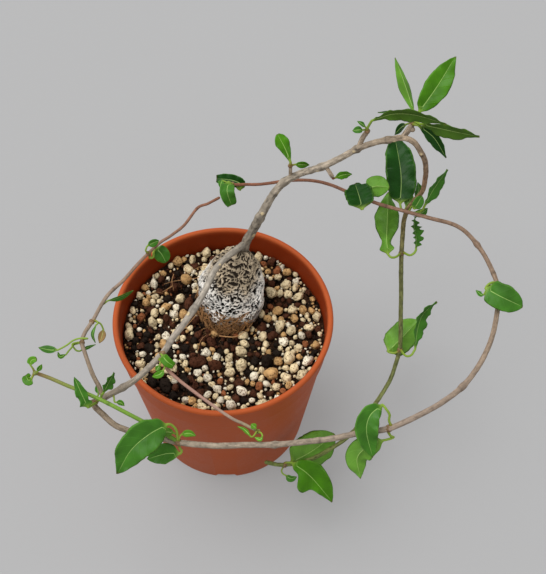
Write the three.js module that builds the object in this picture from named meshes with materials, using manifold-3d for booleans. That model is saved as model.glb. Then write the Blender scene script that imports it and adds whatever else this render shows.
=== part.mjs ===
// A potted fockea edulis: a round caudex in gritty soil, with two woody stems,
// trailing vines and leaves in pairs, in a plastic nursery pot with a collar.
// Millimetres, +Z up. The origin is the middle of the pot's underside.
import * as THREE from "three";
import { mergeVertices } from "three/addons/utils/BufferGeometryUtils.js";
import Module from "manifold-3d";

const wasm = await Module();
wasm.setup();

// Driving dimensions of the pot
const POT_HEIGHT = 95;
const RIM_RADIUS = 52.5;
const COLLAR_RADIUS = 50.2;
const COLLAR_BOTTOM = 77.5;
const BODY_TOP_RADIUS = 49.4;
const FOOT_RADIUS = 40;
const WALL = 1.8;
const LIP_WIDTH = 2.9;
const FLOOR_BOTTOM = 2.5;
const FLOOR_TOP = 4.3;
const CENTRE_PAD_RADIUS = 9;
const NOTCH = { width: 10, height: 3, count: 4 };
const DRAIN = { radius: 3.5, ring: 24, count: 6 };
const POT_SEGMENTS = 36;

// Soil, caudex and the clearance that neighbouring pieces keep
const GAP = 0.3;
const SOIL_TOP = 84;
const GRIT = { pitch: 5, jitter: 2.4, relief: 2.6, seed: 5 };
const GRAINS = { count: 34, small: 2.2, large: 4.2, seed: 7 };
const GOLDEN_ANGLE = 2.39996;
const CAUDEX = { foot: [0.5, 9, 76], crown: [8, 22.5, 117], sides: 16, rings: 11 };
const CAUDEX_PROFILE = [
  [0, 9], [0.1, 12.7], [0.25, 14.9], [0.4, 15.7], [0.55, 15.2],
  [0.7, 12.9], [0.82, 10], [0.92, 6.9], [1, 4],
];

// Stems, stalks and leaf blades
const SWELLING = { height: 0.4, reach: 3 };
const BLADE_THICKNESS = 0.9;
const BLADE_EDGE = 0.35;
const STALK_RADIUS = 0.65;
const SMALL_LEAF = 5.5;
const MIDDLING_LEAF = 11.8;
const TOWARDS_LIGHT = new THREE.Vector3(0, -0.55, 0.84);
const LEFT_EDGE_PHASE = 2.2;

// Half width of a blade against its largest, from base (0) to tip (1)
const OUTLINES = {
  lance: [[0, 0.12], [0.2, 0.62], [0.45, 1], [0.75, 0.66], [1, 0.05]],
  oval: [[0, 0.2], [0.15, 0.66], [0.4, 1], [0.7, 0.8], [0.9, 0.34], [1, 0.05]],
  round: [[0, 0.35], [0.12, 0.78], [0.4, 1], [0.7, 0.9], [0.9, 0.5], [1, 0.08]],
  obovate: [[0, 0.14], [0.3, 0.55], [0.65, 1], [0.88, 0.75], [1, 0.2]],
  blunt: [[0, 0.5], [0.2, 0.9], [0.5, 1], [0.85, 0.85], [1, 0.6]],
  waisted: [[0, 0.5], [0.08, 0.62], [0.22, 0.4], [0.5, 1], [0.75, 0.75], [1, 0.1]],
  fiddle: [[0, 0.4], [0.12, 1], [0.28, 0.62], [0.5, 0.8], [0.75, 0.5], [1, 0.05]],
  torn: [[0, 0.3], [0.2, 0.42], [0.32, 1], [0.5, 1.05], [0.58, 0.5], [0.8, 0.28], [1, 0.05]],
};

// Stems: points of each centre line, and radius against the share of its length.
// Spurs are short woody side twigs that grow out of the same piece, and swellings
// are the places on it where it thickens by SWELLING.
const STEMS = {
  stem_arching: {
    sides: 6, steps: 66, colour: "bark",
    route: [
      [8, 21.5, 106], [10.6, 25, 119], [13.5, 26.5, 126], [18.5, 29.5, 137], [23, 33.5, 145], [28.5, 37.5, 150],
      [35.5, 39, 154], [45, 39, 159], [53, 40, 164], [60, 41, 169], [66.5, 41, 173],
      [73, 40.5, 176], [79.5, 40, 178], [84, 38.5, 177], [87, 37.5, 173], [90, 37.5, 166],
      [91.5, 38.5, 158], [92, 39, 151], [91.5, 38, 143], [88.5, 38.5, 135], [86, 37.5, 129],
      [85, 36, 122], [85, 33, 114], [85, 29, 107], [85.5, 24.5, 97], [86.5, 19.5, 84],
      [87, 13, 73], [87.5, 8.5, 65], [87.5, 4, 58], [86, -0.5, 53], [83.5, -6.5, 47],
      [79, -13.5, 43], [72, -23, 40.5], [62.5, -34.5, 39], [53, -41.5, 38], [42.5, -47.5, 38],
      [30, -51, 39], [20, -50.5, 41],
    ],
    radii: [[0, 2.3], [0.08, 2.1], [0.14, 1.7], [0.27, 1.35], [0.37, 1.2], [0.47, 1.1], [1, 1]],
    spurs: [
      { route: [[60.5, 41, 168.5], [62, 43, 173], [64, 43.5, 178]], radius: 1.1 },
      { route: [[79, 40, 177.5], [81.5, 42.5, 180], [83.5, 44, 182.5]], radius: 1.3 },
      { route: [[31, 38.5, 151.5], [31, 39.5, 155], [31, 40.5, 157.5]], radius: 0.8 },
      { route: [[46.5, 39, 159.5], [48.5, 37, 157.5], [50, 35.5, 155.5]], radius: 0.9 },
      { route: [[82, 43, 180.5], [84.5, 42, 180.8]], radius: 1.1 },
    ],
    swellings: [[20, 29, 133], [28.5, 37.5, 150], [45, 39, 159], [60, 41, 169], [73, 40.5, 176]],
  },
  stem_low: {
    sides: 6, steps: 18, colour: "bark",
    route: [
      [10.2, 24.6, 119.5], [7, 19.8, 122], [2.6, 14, 124], [-2.6, 6.6, 125.2], [-5.8, -2.2, 125.2],
      [-8.5, -8.2, 124], [-12.2, -14, 122.2], [-16.4, -20.2, 120], [-20.9, -26.2, 118], [-25, -32.5, 116], [-31, -39, 114],
      [-37.5, -44.5, 112], [-44, -48, 110], [-52, -52, 108.2],
    ],
    radii: [[0, 1.6], [0.15, 1.45], [1, 1.4]],
    spurs: [],
    swellings: [[-42, -47, 110.5], [-12.2, -14, 122.2]],
  },
  vine_hoop: {
    sides: 6, steps: 58, colour: "bark",
    route: [
      [-53.5, -51.8, 108.2], [-54.5, -54.5, 107], [-50.5, -58, 105],
      [-45.5, -62, 103.5], [-39.5, -64, 102], [-33, -65.5, 101], [-25.5, -66.5, 100.5],
      [-17.5, -68.5, 100], [-2, -70, 100], [12, -69.5, 100], [25, -69.5, 100.5],
      [38, -68.5, 101.5], [49, -67.5, 102.5], [61, -65.5, 104], [71.5, -64.5, 105.5],
      [77, -63.5, 107], [88, -59, 109.5], [97.5, -54.5, 112.5], [107, -48, 116],
      [115, -38, 119], [120.5, -27, 122], [123.5, -15.5, 125], [124.5, -7.5, 126.5],
      [124, 0, 127.5], [120.5, 10.5, 129], [116.5, 17.5, 130.5], [111.5, 24, 131.5],
      [105.5, 27.5, 132.5], [96.5, 30, 133], [85, 33.5, 133.5], [71.5, 37, 135],
      [58.5, 42.5, 136], [50, 46.5, 136.5], [41.5, 48.5, 137], [31, 48.5, 137],
      [18, 47, 136], [9.5, 47.5, 135], [4.5, 48, 134],
    ],
    radii: [[0, 1.35], [0.4, 1.3], [0.6, 1.1], [0.75, 0.9], [0.9, 0.75], [1, 0.7]],
    spurs: [],
    swellings: [[25, -69.5, 100.5], [107, -48, 116], [116.5, 17.5, 130.5]],
  },
  vine_left: {
    sides: 5, steps: 26, colour: "bark",
    route: [
      [-51.5, -50.5, 109.3], [-52.5, -47.5, 111], [-55.5, -43, 115], [-59, -35, 120],
      [-60.5, -30.5, 121], [-59.5, -26, 122], [-56.5, -19.5, 122], [-51.5, -7, 122],
      [-44.5, 2, 122], [-38, 11, 123], [-29.5, 21, 124], [-24.5, 24.5, 125],
      [-18, 29.5, 127], [-12, 38, 129], [-7, 40, 130], [-1.5, 43, 131],
    ],
    radii: [[0, 1], [0.4, 0.85], [0.7, 0.7], [1, 0.65]],
    spurs: [],
    swellings: [],
  },
  shoot_green: {
    sides: 5, steps: 12, colour: "green",
    route: [
      [-17.5, -68.5, 100], [-20, -67.5, 102], [-26.5, -64.5, 104.5], [-38, -60, 109],
      [-48.5, -56, 113], [-58, -52.5, 115.5], [-65.5, -50, 117], [-73.5, -47, 118.5],
      [-80, -45, 119.5],
    ],
    radii: [[0, 0.95], [1, 0.82]],
    spurs: [],
    swellings: [],
  },
  shoot_fine: {
    sides: 5, steps: 10, colour: "fine",
    route: [
      [-25, -33.5, 116], [-23.5, -39.5, 116], [-19, -44, 114.5], [-8, -51.5, 111],
      [5, -59, 106], [11.5, -61, 103], [17.5, -63.5, 101],
    ],
    radii: [[0, 0.8], [1, 0.65]],
    spurs: [],
    swellings: [],
  },
};

// Which stems a stem grows out of, so that it ends just clear of them
const GROWS_FROM = {
  stem_low: ["stem_arching"],
  vine_hoop: ["stem_low"],
  vine_left: ["stem_low", "vine_hoop"],
  shoot_green: ["vine_hoop"],
  shoot_fine: ["stem_low"],
};

// Leaf groups: the stem each grows on, other stems it keeps clear of, the swollen
// ring round the stem that joins its stalks, and its leaves. A stalk runs from the
// stem to the blade, a rib is the blade's middle line from base to tip, width is
// the blade's largest, turn rolls the blade about its rib away from facing up and
// to the front (180 shows the underside there), fold lifts both halves from the
// rib, and wave and waves are the height and number of its edge's undulations.
const LEAVES = {
  leaves_top: { on: "stem_arching", ring: { at: [83.5, 44.2, 182.8], radius: 2.4 }, leaves: [
    { stalk: [[83, 44.5, 184], [83, 45.5, 186]],
      rib: [[83.5, 46, 187.5], [79.5, 57, 193], [75.5, 68, 198]],
      width: 6.5, turn: 212, fold: 12, shape: "lance" },
    { stalk: [[83.5, 44.5, 184], [85, 45, 186]],
      rib: [[85.5, 46, 187.5], [93.5, 55.5, 194], [101.5, 68, 199]],
      width: 11, turn: 0, fold: 14, shape: "oval", wave: 0.6, waves: 3 },
    { stalk: [[81.5, 45, 183.5]],
      rib: [[80, 45.5, 184.5], [74, 46, 187], [68, 46.5, 187]],
      width: 4, turn: 65, fold: 20, shape: "lance" },
    { stalk: [[84, 44, 184]],
      rib: [[86, 41.5, 185.5], [99.5, 38.5, 184.5], [112, 38.5, 181]],
      width: 7.5, turn: 45, fold: 18, shape: "lance", wave: 0.5, waves: 3 },
    { stalk: [[83.5, 43, 183.5]],
      rib: [[85.5, 42, 184], [92.5, 38.5, 180], [98.5, 34, 172]],
      width: 6, turn: 35, fold: 20, shape: "lance", wave: 0.4, waves: 3 },
    { stalk: [[82, 45.5, 181]],
      rib: [[81, 46, 180], [79, 48, 175], [77, 48.5, 170]],
      width: 3.5, turn: 20, fold: 15, shape: "oval" },
  ] },
  leaves_arch_spur: { on: "stem_arching", ring: { at: [64, 43.5, 178.3], radius: 2.2 }, leaves: [
    { stalk: [[64, 43.5, 180], [64.5, 43.5, 182]],
      rib: [[65.5, 43.5, 185], [73.5, 42, 191], [83, 38.5, 194.5], [96.5, 37.5, 190]],
      width: 7.5, turn: 52, fold: 18, shape: "lance", wave: 0.5, waves: 4 },
    { stalk: [[63.5, 43.5, 179]],
      rib: [[62, 43, 179.5], [60, 42.5, 180], [57.5, 43, 179]],
      width: 3.5, turn: 10, fold: 20, shape: "oval" },
    { stalk: [[63.5, 43.5, 180]],
      rib: [[63, 43.5, 181], [61, 44, 182.5], [59.5, 45, 183]],
      width: 2.5, turn: 30, fold: 15, shape: "oval" },
  ] },
  leaves_mid_spur: { on: "stem_arching", ring: { at: [31, 40.5, 157.7], radius: 1.9 }, leaves: [
    { stalk: [[31, 40.5, 158.5]],
      rib: [[31, 41, 159.5], [28.5, 46, 163], [25, 51, 167]],
      width: 6.5, turn: 5, fold: 12, shape: "obovate", wave: 0.3, waves: 3 },
    { stalk: [[31.5, 40.5, 158]],
      rib: [[33, 41, 158], [35.5, 41, 158], [39.5, 42, 156.5]],
      width: 3.5, turn: 30, fold: 18, shape: "oval" },
  ] },
  leaf_under_spur: { on: "stem_arching", leaves: [
    { stalk: [[50, 35.5, 155]],
      rib: [[51, 36, 155], [54.5, 36.5, 156.5], [58.5, 37, 156.5]],
      width: 4, turn: 25, fold: 15, shape: "oval", wave: 0.3, waves: 3 },
  ] },
  leaves_hang_upper: { on: "stem_arching", ring: { at: [86, 37.4, 128.8], radius: 2.5 }, leaves: [
    { stalk: [[84.5, 36.5, 130], [83, 37, 131]],
      rib: [[82.5, 39, 132], [83, 52, 138], [80.5, 69.5, 144]],
      width: 15, turn: 0, fold: 16, shape: "round", wave: 0.9, waves: 4 },
    { stalk: [[86, 36.5, 130], [89.5, 34.5, 131], [92.5, 35.5, 132]],
      rib: [[93.5, 37, 133], [97.5, 43.5, 137], [104, 51, 143]],
      width: 7.5, turn: 40, fold: 20, shape: "lance", wave: 0.5, waves: 3 },
    { from: [86, 36.3, 129.5], stalk: [[86.8, 35.8, 131.8], [87.6, 35.8, 134.6]],
      rib: [[88, 32.5, 137], [89.5, 34, 139], [91.5, 37, 141]],
      width: 5, turn: 10, fold: 15, shape: "round" },
    { stalk: [[85, 37.5, 129]],
      rib: [[85.5, 39, 130], [87, 41.5, 132], [87.5, 44.5, 134]],
      width: 4.5, turn: 195, fold: 15, shape: "round" },
    { stalk: [[86.5, 37, 127.5]],
      rib: [[89.5, 38, 127], [93, 38.5, 126], [96, 40.5, 127]],
      width: 4.5, turn: 20, fold: 15, shape: "oval" },
    { stalk: [[87, 40, 127], [89.5, 43.5, 127]],
      rib: [[90.5, 46, 127.5], [92, 49, 130], [91.5, 52, 132]],
      width: 4, turn: 20, fold: 15, shape: "oval" },
  ] },
  leaves_hang_middle: { on: "stem_arching", ring: { at: [85, 28.8, 106.7], radius: 2.5 }, leaves: [
    { stalk: [[84.5, 28.5, 107], [82, 25, 109], [79.5, 24, 110]],
      rib: [[78, 25.5, 110.5], [77.5, 33, 113.5], [78, 44, 119], [78.5, 53, 123]],
      width: 12.5, turn: 180, fold: 18, shape: "waisted", wave: 1.6, waves: 3 },
    { stalk: [[86, 28.5, 107.5], [88.5, 26, 109], [90.5, 26.5, 110]],
      rib: [[91.5, 28, 110.5], [91.5, 33.5, 113], [90.5, 37.5, 116], [91, 42, 118.5]],
      width: 8, turn: 48, fold: 28, shape: "lance", wave: 1.2, waves: 6 },
  ] },
  leaves_hang_lower: { on: "stem_arching", ring: { at: [87.5, 3.8, 57.7], radius: 2.5 }, leaves: [
    { stalk: [[87, 3, 57.5], [84.5, 2.5, 56.5]],
      rib: [[81.5, 3.5, 56], [89.5, 11, 59], [97, 18, 63]],
      width: 15, turn: 180, fold: 12, shape: "round", wave: 0.5, waves: 3 },
    { stalk: [[88, 3, 58.5], [90, -1, 60], [92.5, -1.5, 61.5]],
      rib: [[94.5, 1, 63], [95.5, 9, 67], [98.5, 17, 70], [105.5, 23, 73]],
      width: 8.5, turn: 40, fold: 20, shape: "lance", wave: 0.7, waves: 4 },
  ] },
  leaves_hang_tip: { on: "stem_arching", ring: { at: [30, -51, 39], radius: 2.4 }, leaves: [
    { stalk: [[30.5, -50, 38]],
      rib: [[33, -48.5, 36.5], [43, -42, 35], [55, -33.5, 37.5]],
      width: 18, turn: 180, fold: 14, shape: "round", wave: 0.7, waves: 3 },
    { stalk: [[30.5, -50.5, 40.5]],
      rib: [[33.5, -50.5, 40.5], [42.5, -56, 37], [53.5, -65.5, 28]],
      width: 16.5, turn: 0, fold: 20, shape: "oval", torn: true, wave: 0.8, waves: 3 },
    { stalk: [[29.5, -51.5, 38], [28.5, -53, 37], [29, -54.5, 36.5]],
      rib: [[30.5, -55.5, 36.5], [33, -57, 36.5], [36, -56.5, 37]],
      width: 4, turn: 20, fold: 20, shape: "oval" },
  ] },
  leaves_hoop_front_right: { on: "vine_hoop", ring: { at: [74.5, -64, 106], radius: 3 }, leaves: [
    { stalk: [[74.5, -62, 109.5], [74.5, -60.5, 112.5], [73, -59, 114.5]],
      rib: [[71.5, -57, 115], [66, -61.5, 113.5], [64.5, -67.5, 109.5], [67.5, -75.5, 101]],
      width: 11, turn: 0, fold: 20, shape: "oval", wave: 0.6, waves: 3 },
    { stalk: [[75.5, -66, 103], [77, -66, 101.5], [74.5, -67, 101.5]],
      rib: [[72.5, -67.5, 101.5], [64.5, -70.5, 99.5], [61, -74, 96], [63, -79.5, 88]],
      width: 11.5, turn: 180, fold: 12, shape: "oval", wave: 0.5, waves: 3 },
  ] },
  leaf_hoop_right: { on: "vine_hoop", leaves: [
    { stalk: [[122.5, -3, 130], [120, -4.5, 131]],
      rib: [[118, -7, 131.5], [124, -12, 132.5], [134, -15.5, 129.5]],
      width: 12, turn: 0, fold: 10, shape: "round", wave: 0.3, waves: 3 },
    { from: [120.5, -4, 130.8], stalk: [[118.5, -7.2, 129.3]],
      rib: [[117.5, -9.2, 129.5], [116, -9.2, 129.5], [114, -7.2, 130]],
      width: 3, turn: 30, fold: 15, shape: "lance" },
  ] },
  leaves_hoop_back_right: { on: "vine_hoop", ring: { at: [64.5, 40, 135.6], radius: 2.5 }, leaves: [
    { stalk: [[64, 39.5, 137], [64.5, 32.5, 139]],
      rib: [[64, 29.5, 140], [63, 34.5, 141.5], [61, 43, 142]],
      width: 13.5, turn: 0, fold: 18, shape: "round", wave: 0.8, waves: 5 },
    { stalk: [[64, 41, 137]],
      rib: [[66, 42.5, 138], [71, 43.5, 139.5], [77, 42.5, 140]],
      width: 10, turn: 180, fold: 12, shape: "round", wave: 0.4, waves: 3 },
  ] },
  leaves_hoop_tip: { on: "vine_hoop", ring: { at: [4.2, 48.1, 134.1], radius: 2.2 }, leaves: [
    { stalk: [[4, 47, 136]],
      rib: [[2.5, 47, 137.5], [2, 41.5, 138.5], [2.5, 39.5, 136.5], [4, 38, 131.5]],
      width: 7, turn: 0, fold: 10, shape: "blunt", wave: 0.3, waves: 3 },
    { stalk: [[5.5, 49.5, 131.5]],
      rib: [[7.5, 48, 130], [8, 50, 132], [3.5, 52, 132.5], [-3.5, 54, 131]],
      width: 6, turn: 0, fold: 20, shape: "blunt", wave: 0.5, waves: 4 },
    { stalk: [[2.5, 47.5, 136]],
      rib: [[-0.5, 48.5, 136.5], [-1, 46.5, 137], [-1.5, 44.5, 136.5]],
      width: 3, turn: 0, fold: 15, shape: "oval" },
  ] },
  leaves_left_back: { on: "vine_left", ring: { at: [-34, 15.8, 123.4], radius: 2.1 }, leaves: [
    { stalk: [[-34, 15.5, 124.5], [-35, 15.5, 126], [-34.5, 16.5, 127.5]],
      rib: [[-34, 17, 128], [-32, 18, 128.5], [-29, 20, 128]],
      width: 4, turn: 20, fold: 20, shape: "oval" },
    { stalk: [[-33.5, 16.5, 122], [-33.5, 15, 121], [-32, 16, 120.5], [-32, 18.5, 120.5]],
      rib: [[-31.5, 21.5, 120], [-28.5, 19, 118.5], [-26.5, 16.5, 115]],
      width: 7.5, turn: 0, fold: 14, shape: "round", wave: 0.3, waves: 3 },
  ] },
  leaf_left_side: { on: "vine_left", leaves: [
    { stalk: [[-53, -10.5, 121]],
      rib: [[-51, -9, 121.5], [-45.5, -7.5, 122.5], [-39.5, -4, 122.5]],
      width: 4, turn: 50, fold: 25, shape: "lance" },
  ] },
  leaves_left_curl: { on: "vine_left", ring: { at: [-60.5, -30.5, 121], radius: 2.3 }, leaves: [
    { stalk: [[-57.5, -30.5, 124.5], [-61, -30.5, 124.5], [-64, -31, 123.5], [-67, -33, 122.5]],
      rib: [[-70.5, -35, 122], [-74.5, -34.5, 121], [-79.5, -33, 120.5]],
      width: 4, turn: 25, fold: 20, shape: "oval" },
    { stalk: [[-62, -28.5, 118], [-65, -30, 119], [-65, -31.5, 119], [-66.5, -33.5, 118.5]],
      rib: [[-67.5, -35, 118], [-70, -36, 118], [-71, -34.5, 119.5]],
      width: 2, turn: 0, fold: 20, shape: "lance" },
    { stalk: [[-62, -29, 118], [-65, -30, 117.5], [-63.5, -32, 116.5]],
      rib: [[-62, -32, 116], [-59, -30.5, 116.5], [-55, -29.5, 117.5]],
      width: 2, turn: 30, fold: 20, shape: "lance" },
  ] },
  leaves_left_side_curl: { on: "vine_left", ring: { at: [-57, -20.5, 122], radius: 2.2 }, leaves: [
    { stalk: [[-55.5, -20, 122.5], [-54, -21.5, 123]],
      rib: [[-55, -22.5, 122.5], [-56, -26.5, 121], [-55, -29.5, 119]],
      width: 2.5, turn: 40, fold: 20, shape: "lance" },
    { stalk: [[-54.5, -20.5, 122], [-53, -21, 121]],
      rib: [[-52, -22.5, 119], [-52.5, -25.5, 118], [-53.5, -28.5, 117]],
      width: 3.5, turn: 0, fold: 10, shape: "oval" },
  ] },
  leaves_green_shoot_base: { on: "vine_hoop", clear: ["stem_low", "vine_left"],
    ring: { at: [-54.9, -53.4, 107.4], radius: 2.8 }, leaves: [
    { stalk: [[-53.5, -54.5, 110], [-54.5, -56.5, 112]],
      rib: [[-56, -59, 114], [-58.5, -55.5, 121], [-61.5, -50, 125]],
      width: 7, turn: 0, fold: 20, shape: "fiddle", wave: 0.6, waves: 3 },
    { from: [-54, -54, 109.5], stalk: [[-51.5, -53.5, 111.5], [-51, -52.5, 113]],
      rib: [[-50, -52.5, 115], [-47.5, -49.5, 119], [-45, -46, 122]],
      width: 6, turn: 45, fold: 22, shape: "lance", wave: 0.7, waves: 3 },
    { stalk: [[-54, -51, 106.5]],
      rib: [[-53.5, -48, 106], [-54, -46, 107], [-54.5, -44.5, 108]],
      width: 2.5, turn: 0, fold: 12, shape: "oval" },
  ] },
  leaf_bud_low: { on: "stem_low", leaves: [
    { stalk: [[-46, -51.5, 109.5], [-45.5, -54, 110]],
      rib: [[-44.5, -54.5, 110.5], [-42.5, -55, 111], [-41, -56, 110]],
      width: 2.5, turn: 0, fold: 12, shape: "oval" },
  ] },
  leaves_green_shoot_tip: { on: "shoot_green", ring: { at: [-79.6, -45.2, 119.5], radius: 2 }, leaves: [
    { stalk: [[-80.5, -46.5, 119.5]],
      rib: [[-81, -47.5, 119], [-82.5, -48, 118], [-84, -45.5, 118]],
      width: 5, turn: 0, fold: 18, shape: "blunt" },
    { stalk: [[-80.5, -44, 121]],
      rib: [[-81.5, -43, 122.5], [-81, -41.5, 124], [-78.5, -41.5, 125.5]],
      width: 3.5, turn: 0, fold: 20, shape: "blunt" },
    { stalk: [[-78.5, -46, 121]],
      rib: [[-78, -46, 122.5], [-77, -45, 124], [-76, -44, 125]],
      width: 2.5, turn: 30, fold: 20, shape: "oval" },
  ] },
  leaves_hoop_front: { on: "vine_hoop", clear: ["shoot_green"],
    ring: { at: [-17.5, -68.5, 100], radius: 3.1 }, leaves: [
    { stalk: [[-17.5, -68, 102.5], [-18, -66, 107], [-20, -65, 110]],
      rib: [[-21.5, -65.5, 111.5], [-29, -71.5, 113.5], [-36.5, -77.5, 110.5], [-42.5, -85, 103]],
      width: 15, turn: 0, fold: 16, shape: "oval", wave: 0.7, waves: 3 },
    { stalk: [[-17, -70, 98], [-16, -71, 96.5]],
      rib: [[-16.5, -72, 96], [-23, -71.5, 94.5], [-31.5, -72.5, 91]],
      width: 10, turn: 15, fold: 25, shape: "oval", wave: 0.4, waves: 3 },
    { stalk: [[-17, -68, 102.5]],
      rib: [[-16, -67, 104.5], [-12.5, -66.5, 105], [-9.5, -67.5, 104.5]],
      width: 3.5, turn: 10, fold: 15, shape: "oval" },
    { stalk: [[-18, -66.5, 102.5]],
      rib: [[-19, -66.5, 105], [-22.5, -67, 107], [-25, -69, 106]],
      width: 4, turn: 180, fold: 12, shape: "oval" },
  ] },
  leaves_low: { on: "stem_low", clear: ["shoot_fine"],
    ring: { at: [-25.2, -33, 116], radius: 3.1 }, leaves: [
    { stalk: [[-25.5, -35, 119]],
      rib: [[-25, -36, 120], [-22.5, -39.5, 120.5], [-19.5, -41, 119]],
      width: 4.5, turn: 0, fold: 15, shape: "blunt" },
    { stalk: [[-24.5, -38, 119], [-23.5, -40.5, 118.5]],
      rib: [[-24, -42.5, 118.5], [-25.5, -44.5, 118], [-29, -45, 116.5]],
      width: 3.5, turn: 15, fold: 18, shape: "oval" },
    { stalk: [[-25.5, -38, 118]],
      rib: [[-26, -40, 118], [-26.5, -41, 117.5], [-27.5, -42.5, 117]],
      width: 2.5, turn: 0, fold: 12, shape: "oval" },
  ] },
  leaves_fine_tip: { on: "shoot_fine", ring: { at: [17.5, -63.5, 101], radius: 1.8 }, leaves: [
    { stalk: [[17, -64, 102.5], [15.5, -67, 103.5]],
      rib: [[14.5, -67.5, 104], [11.5, -65, 106], [8.5, -64, 107]],
      width: 2, turn: 20, fold: 18, shape: "lance" },
    { stalk: [[16.5, -63.5, 103.5]],
      rib: [[16.5, -63.5, 104.5], [15.5, -63, 105.5], [14.5, -62.5, 106.5]],
      width: 3, turn: 0, fold: 12, shape: "oval" },
    { stalk: [[18, -64.5, 102.5], [19, -65.5, 103.5]],
      rib: [[19.5, -67, 104], [18.5, -68.5, 103.5], [16, -67.5, 103.5]],
      width: 2, turn: 0, fold: 12, shape: "lance" },
  ] },
};

const MATERIALS = {
  pot: new THREE.MeshStandardMaterial({ color: 0xb4532f, roughness: 0.5, metalness: 0 }),
  soil: new THREE.MeshStandardMaterial({ color: 0xb9a27e, roughness: 0.95, metalness: 0 }),
  caudex: new THREE.MeshStandardMaterial({ color: 0x8f8577, roughness: 0.95, metalness: 0 }),
  bark: new THREE.MeshStandardMaterial({ color: 0x8c7a69, roughness: 0.85, metalness: 0 }),
  green: new THREE.MeshStandardMaterial({ color: 0x7f9a45, roughness: 0.6, metalness: 0 }),
  fine: new THREE.MeshStandardMaterial({ color: 0xa9827a, roughness: 0.7, metalness: 0 }),
  leaf: new THREE.MeshStandardMaterial({ color: 0x3f7f2c, roughness: 0.5, metalness: 0 }),
};

// Small helpers
function seededRandom(seed) {
  let state = seed;
  return () => {
    state = (Math.imul(state, 1664525) + 1013904223) >>> 0;
    return state / 4294967296;
  };
}

function vector(point) {
  return new THREE.Vector3(...point);
}

// The value at t of a list of [place, value] pairs, straight between them
function along(pairs, t) {
  const next = pairs.findIndex(([place]) => place >= t);
  if (next <= 0) return pairs[next === 0 ? 0 : pairs.length - 1][1];
  const [t0, v0] = pairs[next - 1];
  const [t1, v1] = pairs[next];
  return v0 + ((v1 - v0) * (t - t0)) / (t1 - t0);
}

function curveThrough(points) {
  return new THREE.CatmullRomCurve3(points.map(vector), false, "catmullrom", 0.5);
}

// Solids and booleans
function solid(geometry) {
  const bare = geometry.clone();
  bare.deleteAttribute("normal");
  bare.deleteAttribute("uv");
  const merged = mergeVertices(bare, 1e-4);
  return new wasm.Manifold(new wasm.Mesh({
    numProp: 3,
    vertProperties: new Float32Array(merged.attributes.position.array),
    triVerts: new Uint32Array(merged.index.array),
  }));
}

function union(solids) {
  return solids.reduce((sum, next) => sum.add(next));
}

function largest(body) {
  return body.decompose().sort((a, b) => b.volume() - a.volume())[0];
}

function meshOf(name, body, material) {
  const { vertProperties, triVerts } = body.getMesh();
  const geometry = new THREE.BufferGeometry();
  geometry.setAttribute("position", new THREE.BufferAttribute(vertProperties, 3));
  geometry.setIndex(new THREE.BufferAttribute(triVerts, 1));
  geometry.computeVertexNormals();
  const mesh = new THREE.Mesh(geometry, material);
  mesh.name = name;
  return mesh;
}

function indexedGeometry(points, triangles) {
  const geometry = new THREE.BufferGeometry();
  geometry.setAttribute("position", new THREE.Float32BufferAttribute(points, 3));
  geometry.setIndex(triangles);
  return geometry;
}

// Closes a stack of rings of points, each ring counter-clockwise seen from the end
function closedRings(points, rows, sides) {
  const triangles = [];
  for (let i = 0; i < rows - 1; i++) {
    for (let j = 0; j < sides; j++) {
      const a = i * sides + j;
      const b = i * sides + ((j + 1) % sides);
      triangles.push(a, b, b + sides, a, b + sides, a + sides);
    }
  }
  const last = (rows - 1) * sides;
  for (let j = 1; j < sides - 1; j++) {
    triangles.push(0, j + 1, j, last, last + j, last + j + 1);
  }
  return indexedGeometry(points, triangles);
}

// A closed tube along a curve, whose radius changes with the share of its length.
// Extra thickens it all over, at its ends too.
function taperedTube(curve, radiusAt, steps, sides, extra = 0) {
  const { tangents, normals, binormals } = curve.computeFrenetFrames(steps, false);
  const points = [];
  for (let i = 0; i <= steps; i++) {
    const centre = curve.getPointAt(i / steps);
    const radius = radiusAt(i / steps) + extra;
    if (i === 0) {
      centre.addScaledVector(tangents[i], -extra);
    }
    if (i === steps) {
      centre.addScaledVector(tangents[i], extra);
    }
    for (let j = 0; j < sides; j++) {
      const angle = (2 * Math.PI * j) / sides;
      const spot = centre.clone()
        .addScaledVector(normals[i], radius * Math.cos(angle))
        .addScaledVector(binormals[i], radius * Math.sin(angle));
      points.push(spot.x, spot.y, spot.z);
    }
  }
  return closedRings(points, steps + 1, sides);
}

// A stem with its spurs, or the same stem thickened all over by extra
function stemSolid(name, extra = 0) {
  const { route, radii, sides, steps, spurs, swellings } = STEMS[name];
  const curve = curveThrough(route);
  const length = curve.getLength();
  const places = swellings.map((place) => placeAlong(curve, vector(place)));
  const radiusAt = (t) => {
    const nearest = Math.min(...places.map((place) => Math.abs(place - t) * length), SWELLING.reach);
    return along(radii, t) + SWELLING.height * (1 - nearest / SWELLING.reach);
  };
  const main = taperedTube(curve, radiusAt, steps, sides, extra);
  const twigs = spurs.map(({ route: points, radius }) => (
    solid(taperedTube(curveThrough(points), () => radius, points.length, 5, extra))
  ));
  return union([solid(main), ...twigs]);
}

// The share of a curve's length at which it passes nearest to a point
function placeAlong(curve, point) {
  const spots = curve.getSpacedPoints(300);
  const gaps = spots.map((spot) => spot.distanceTo(point));
  return gaps.indexOf(Math.min(...gaps)) / 300;
}

function nearestOnStem(name, point) {
  const { route, spurs } = STEMS[name];
  const spots = [route, ...spurs.map((spur) => spur.route)].map((points) => {
    const curve = curveThrough(points);
    return curve.getPointAt(placeAlong(curve, point));
  });
  return spots.sort((a, b) => a.distanceTo(point) - b.distanceTo(point))[0];
}

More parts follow.
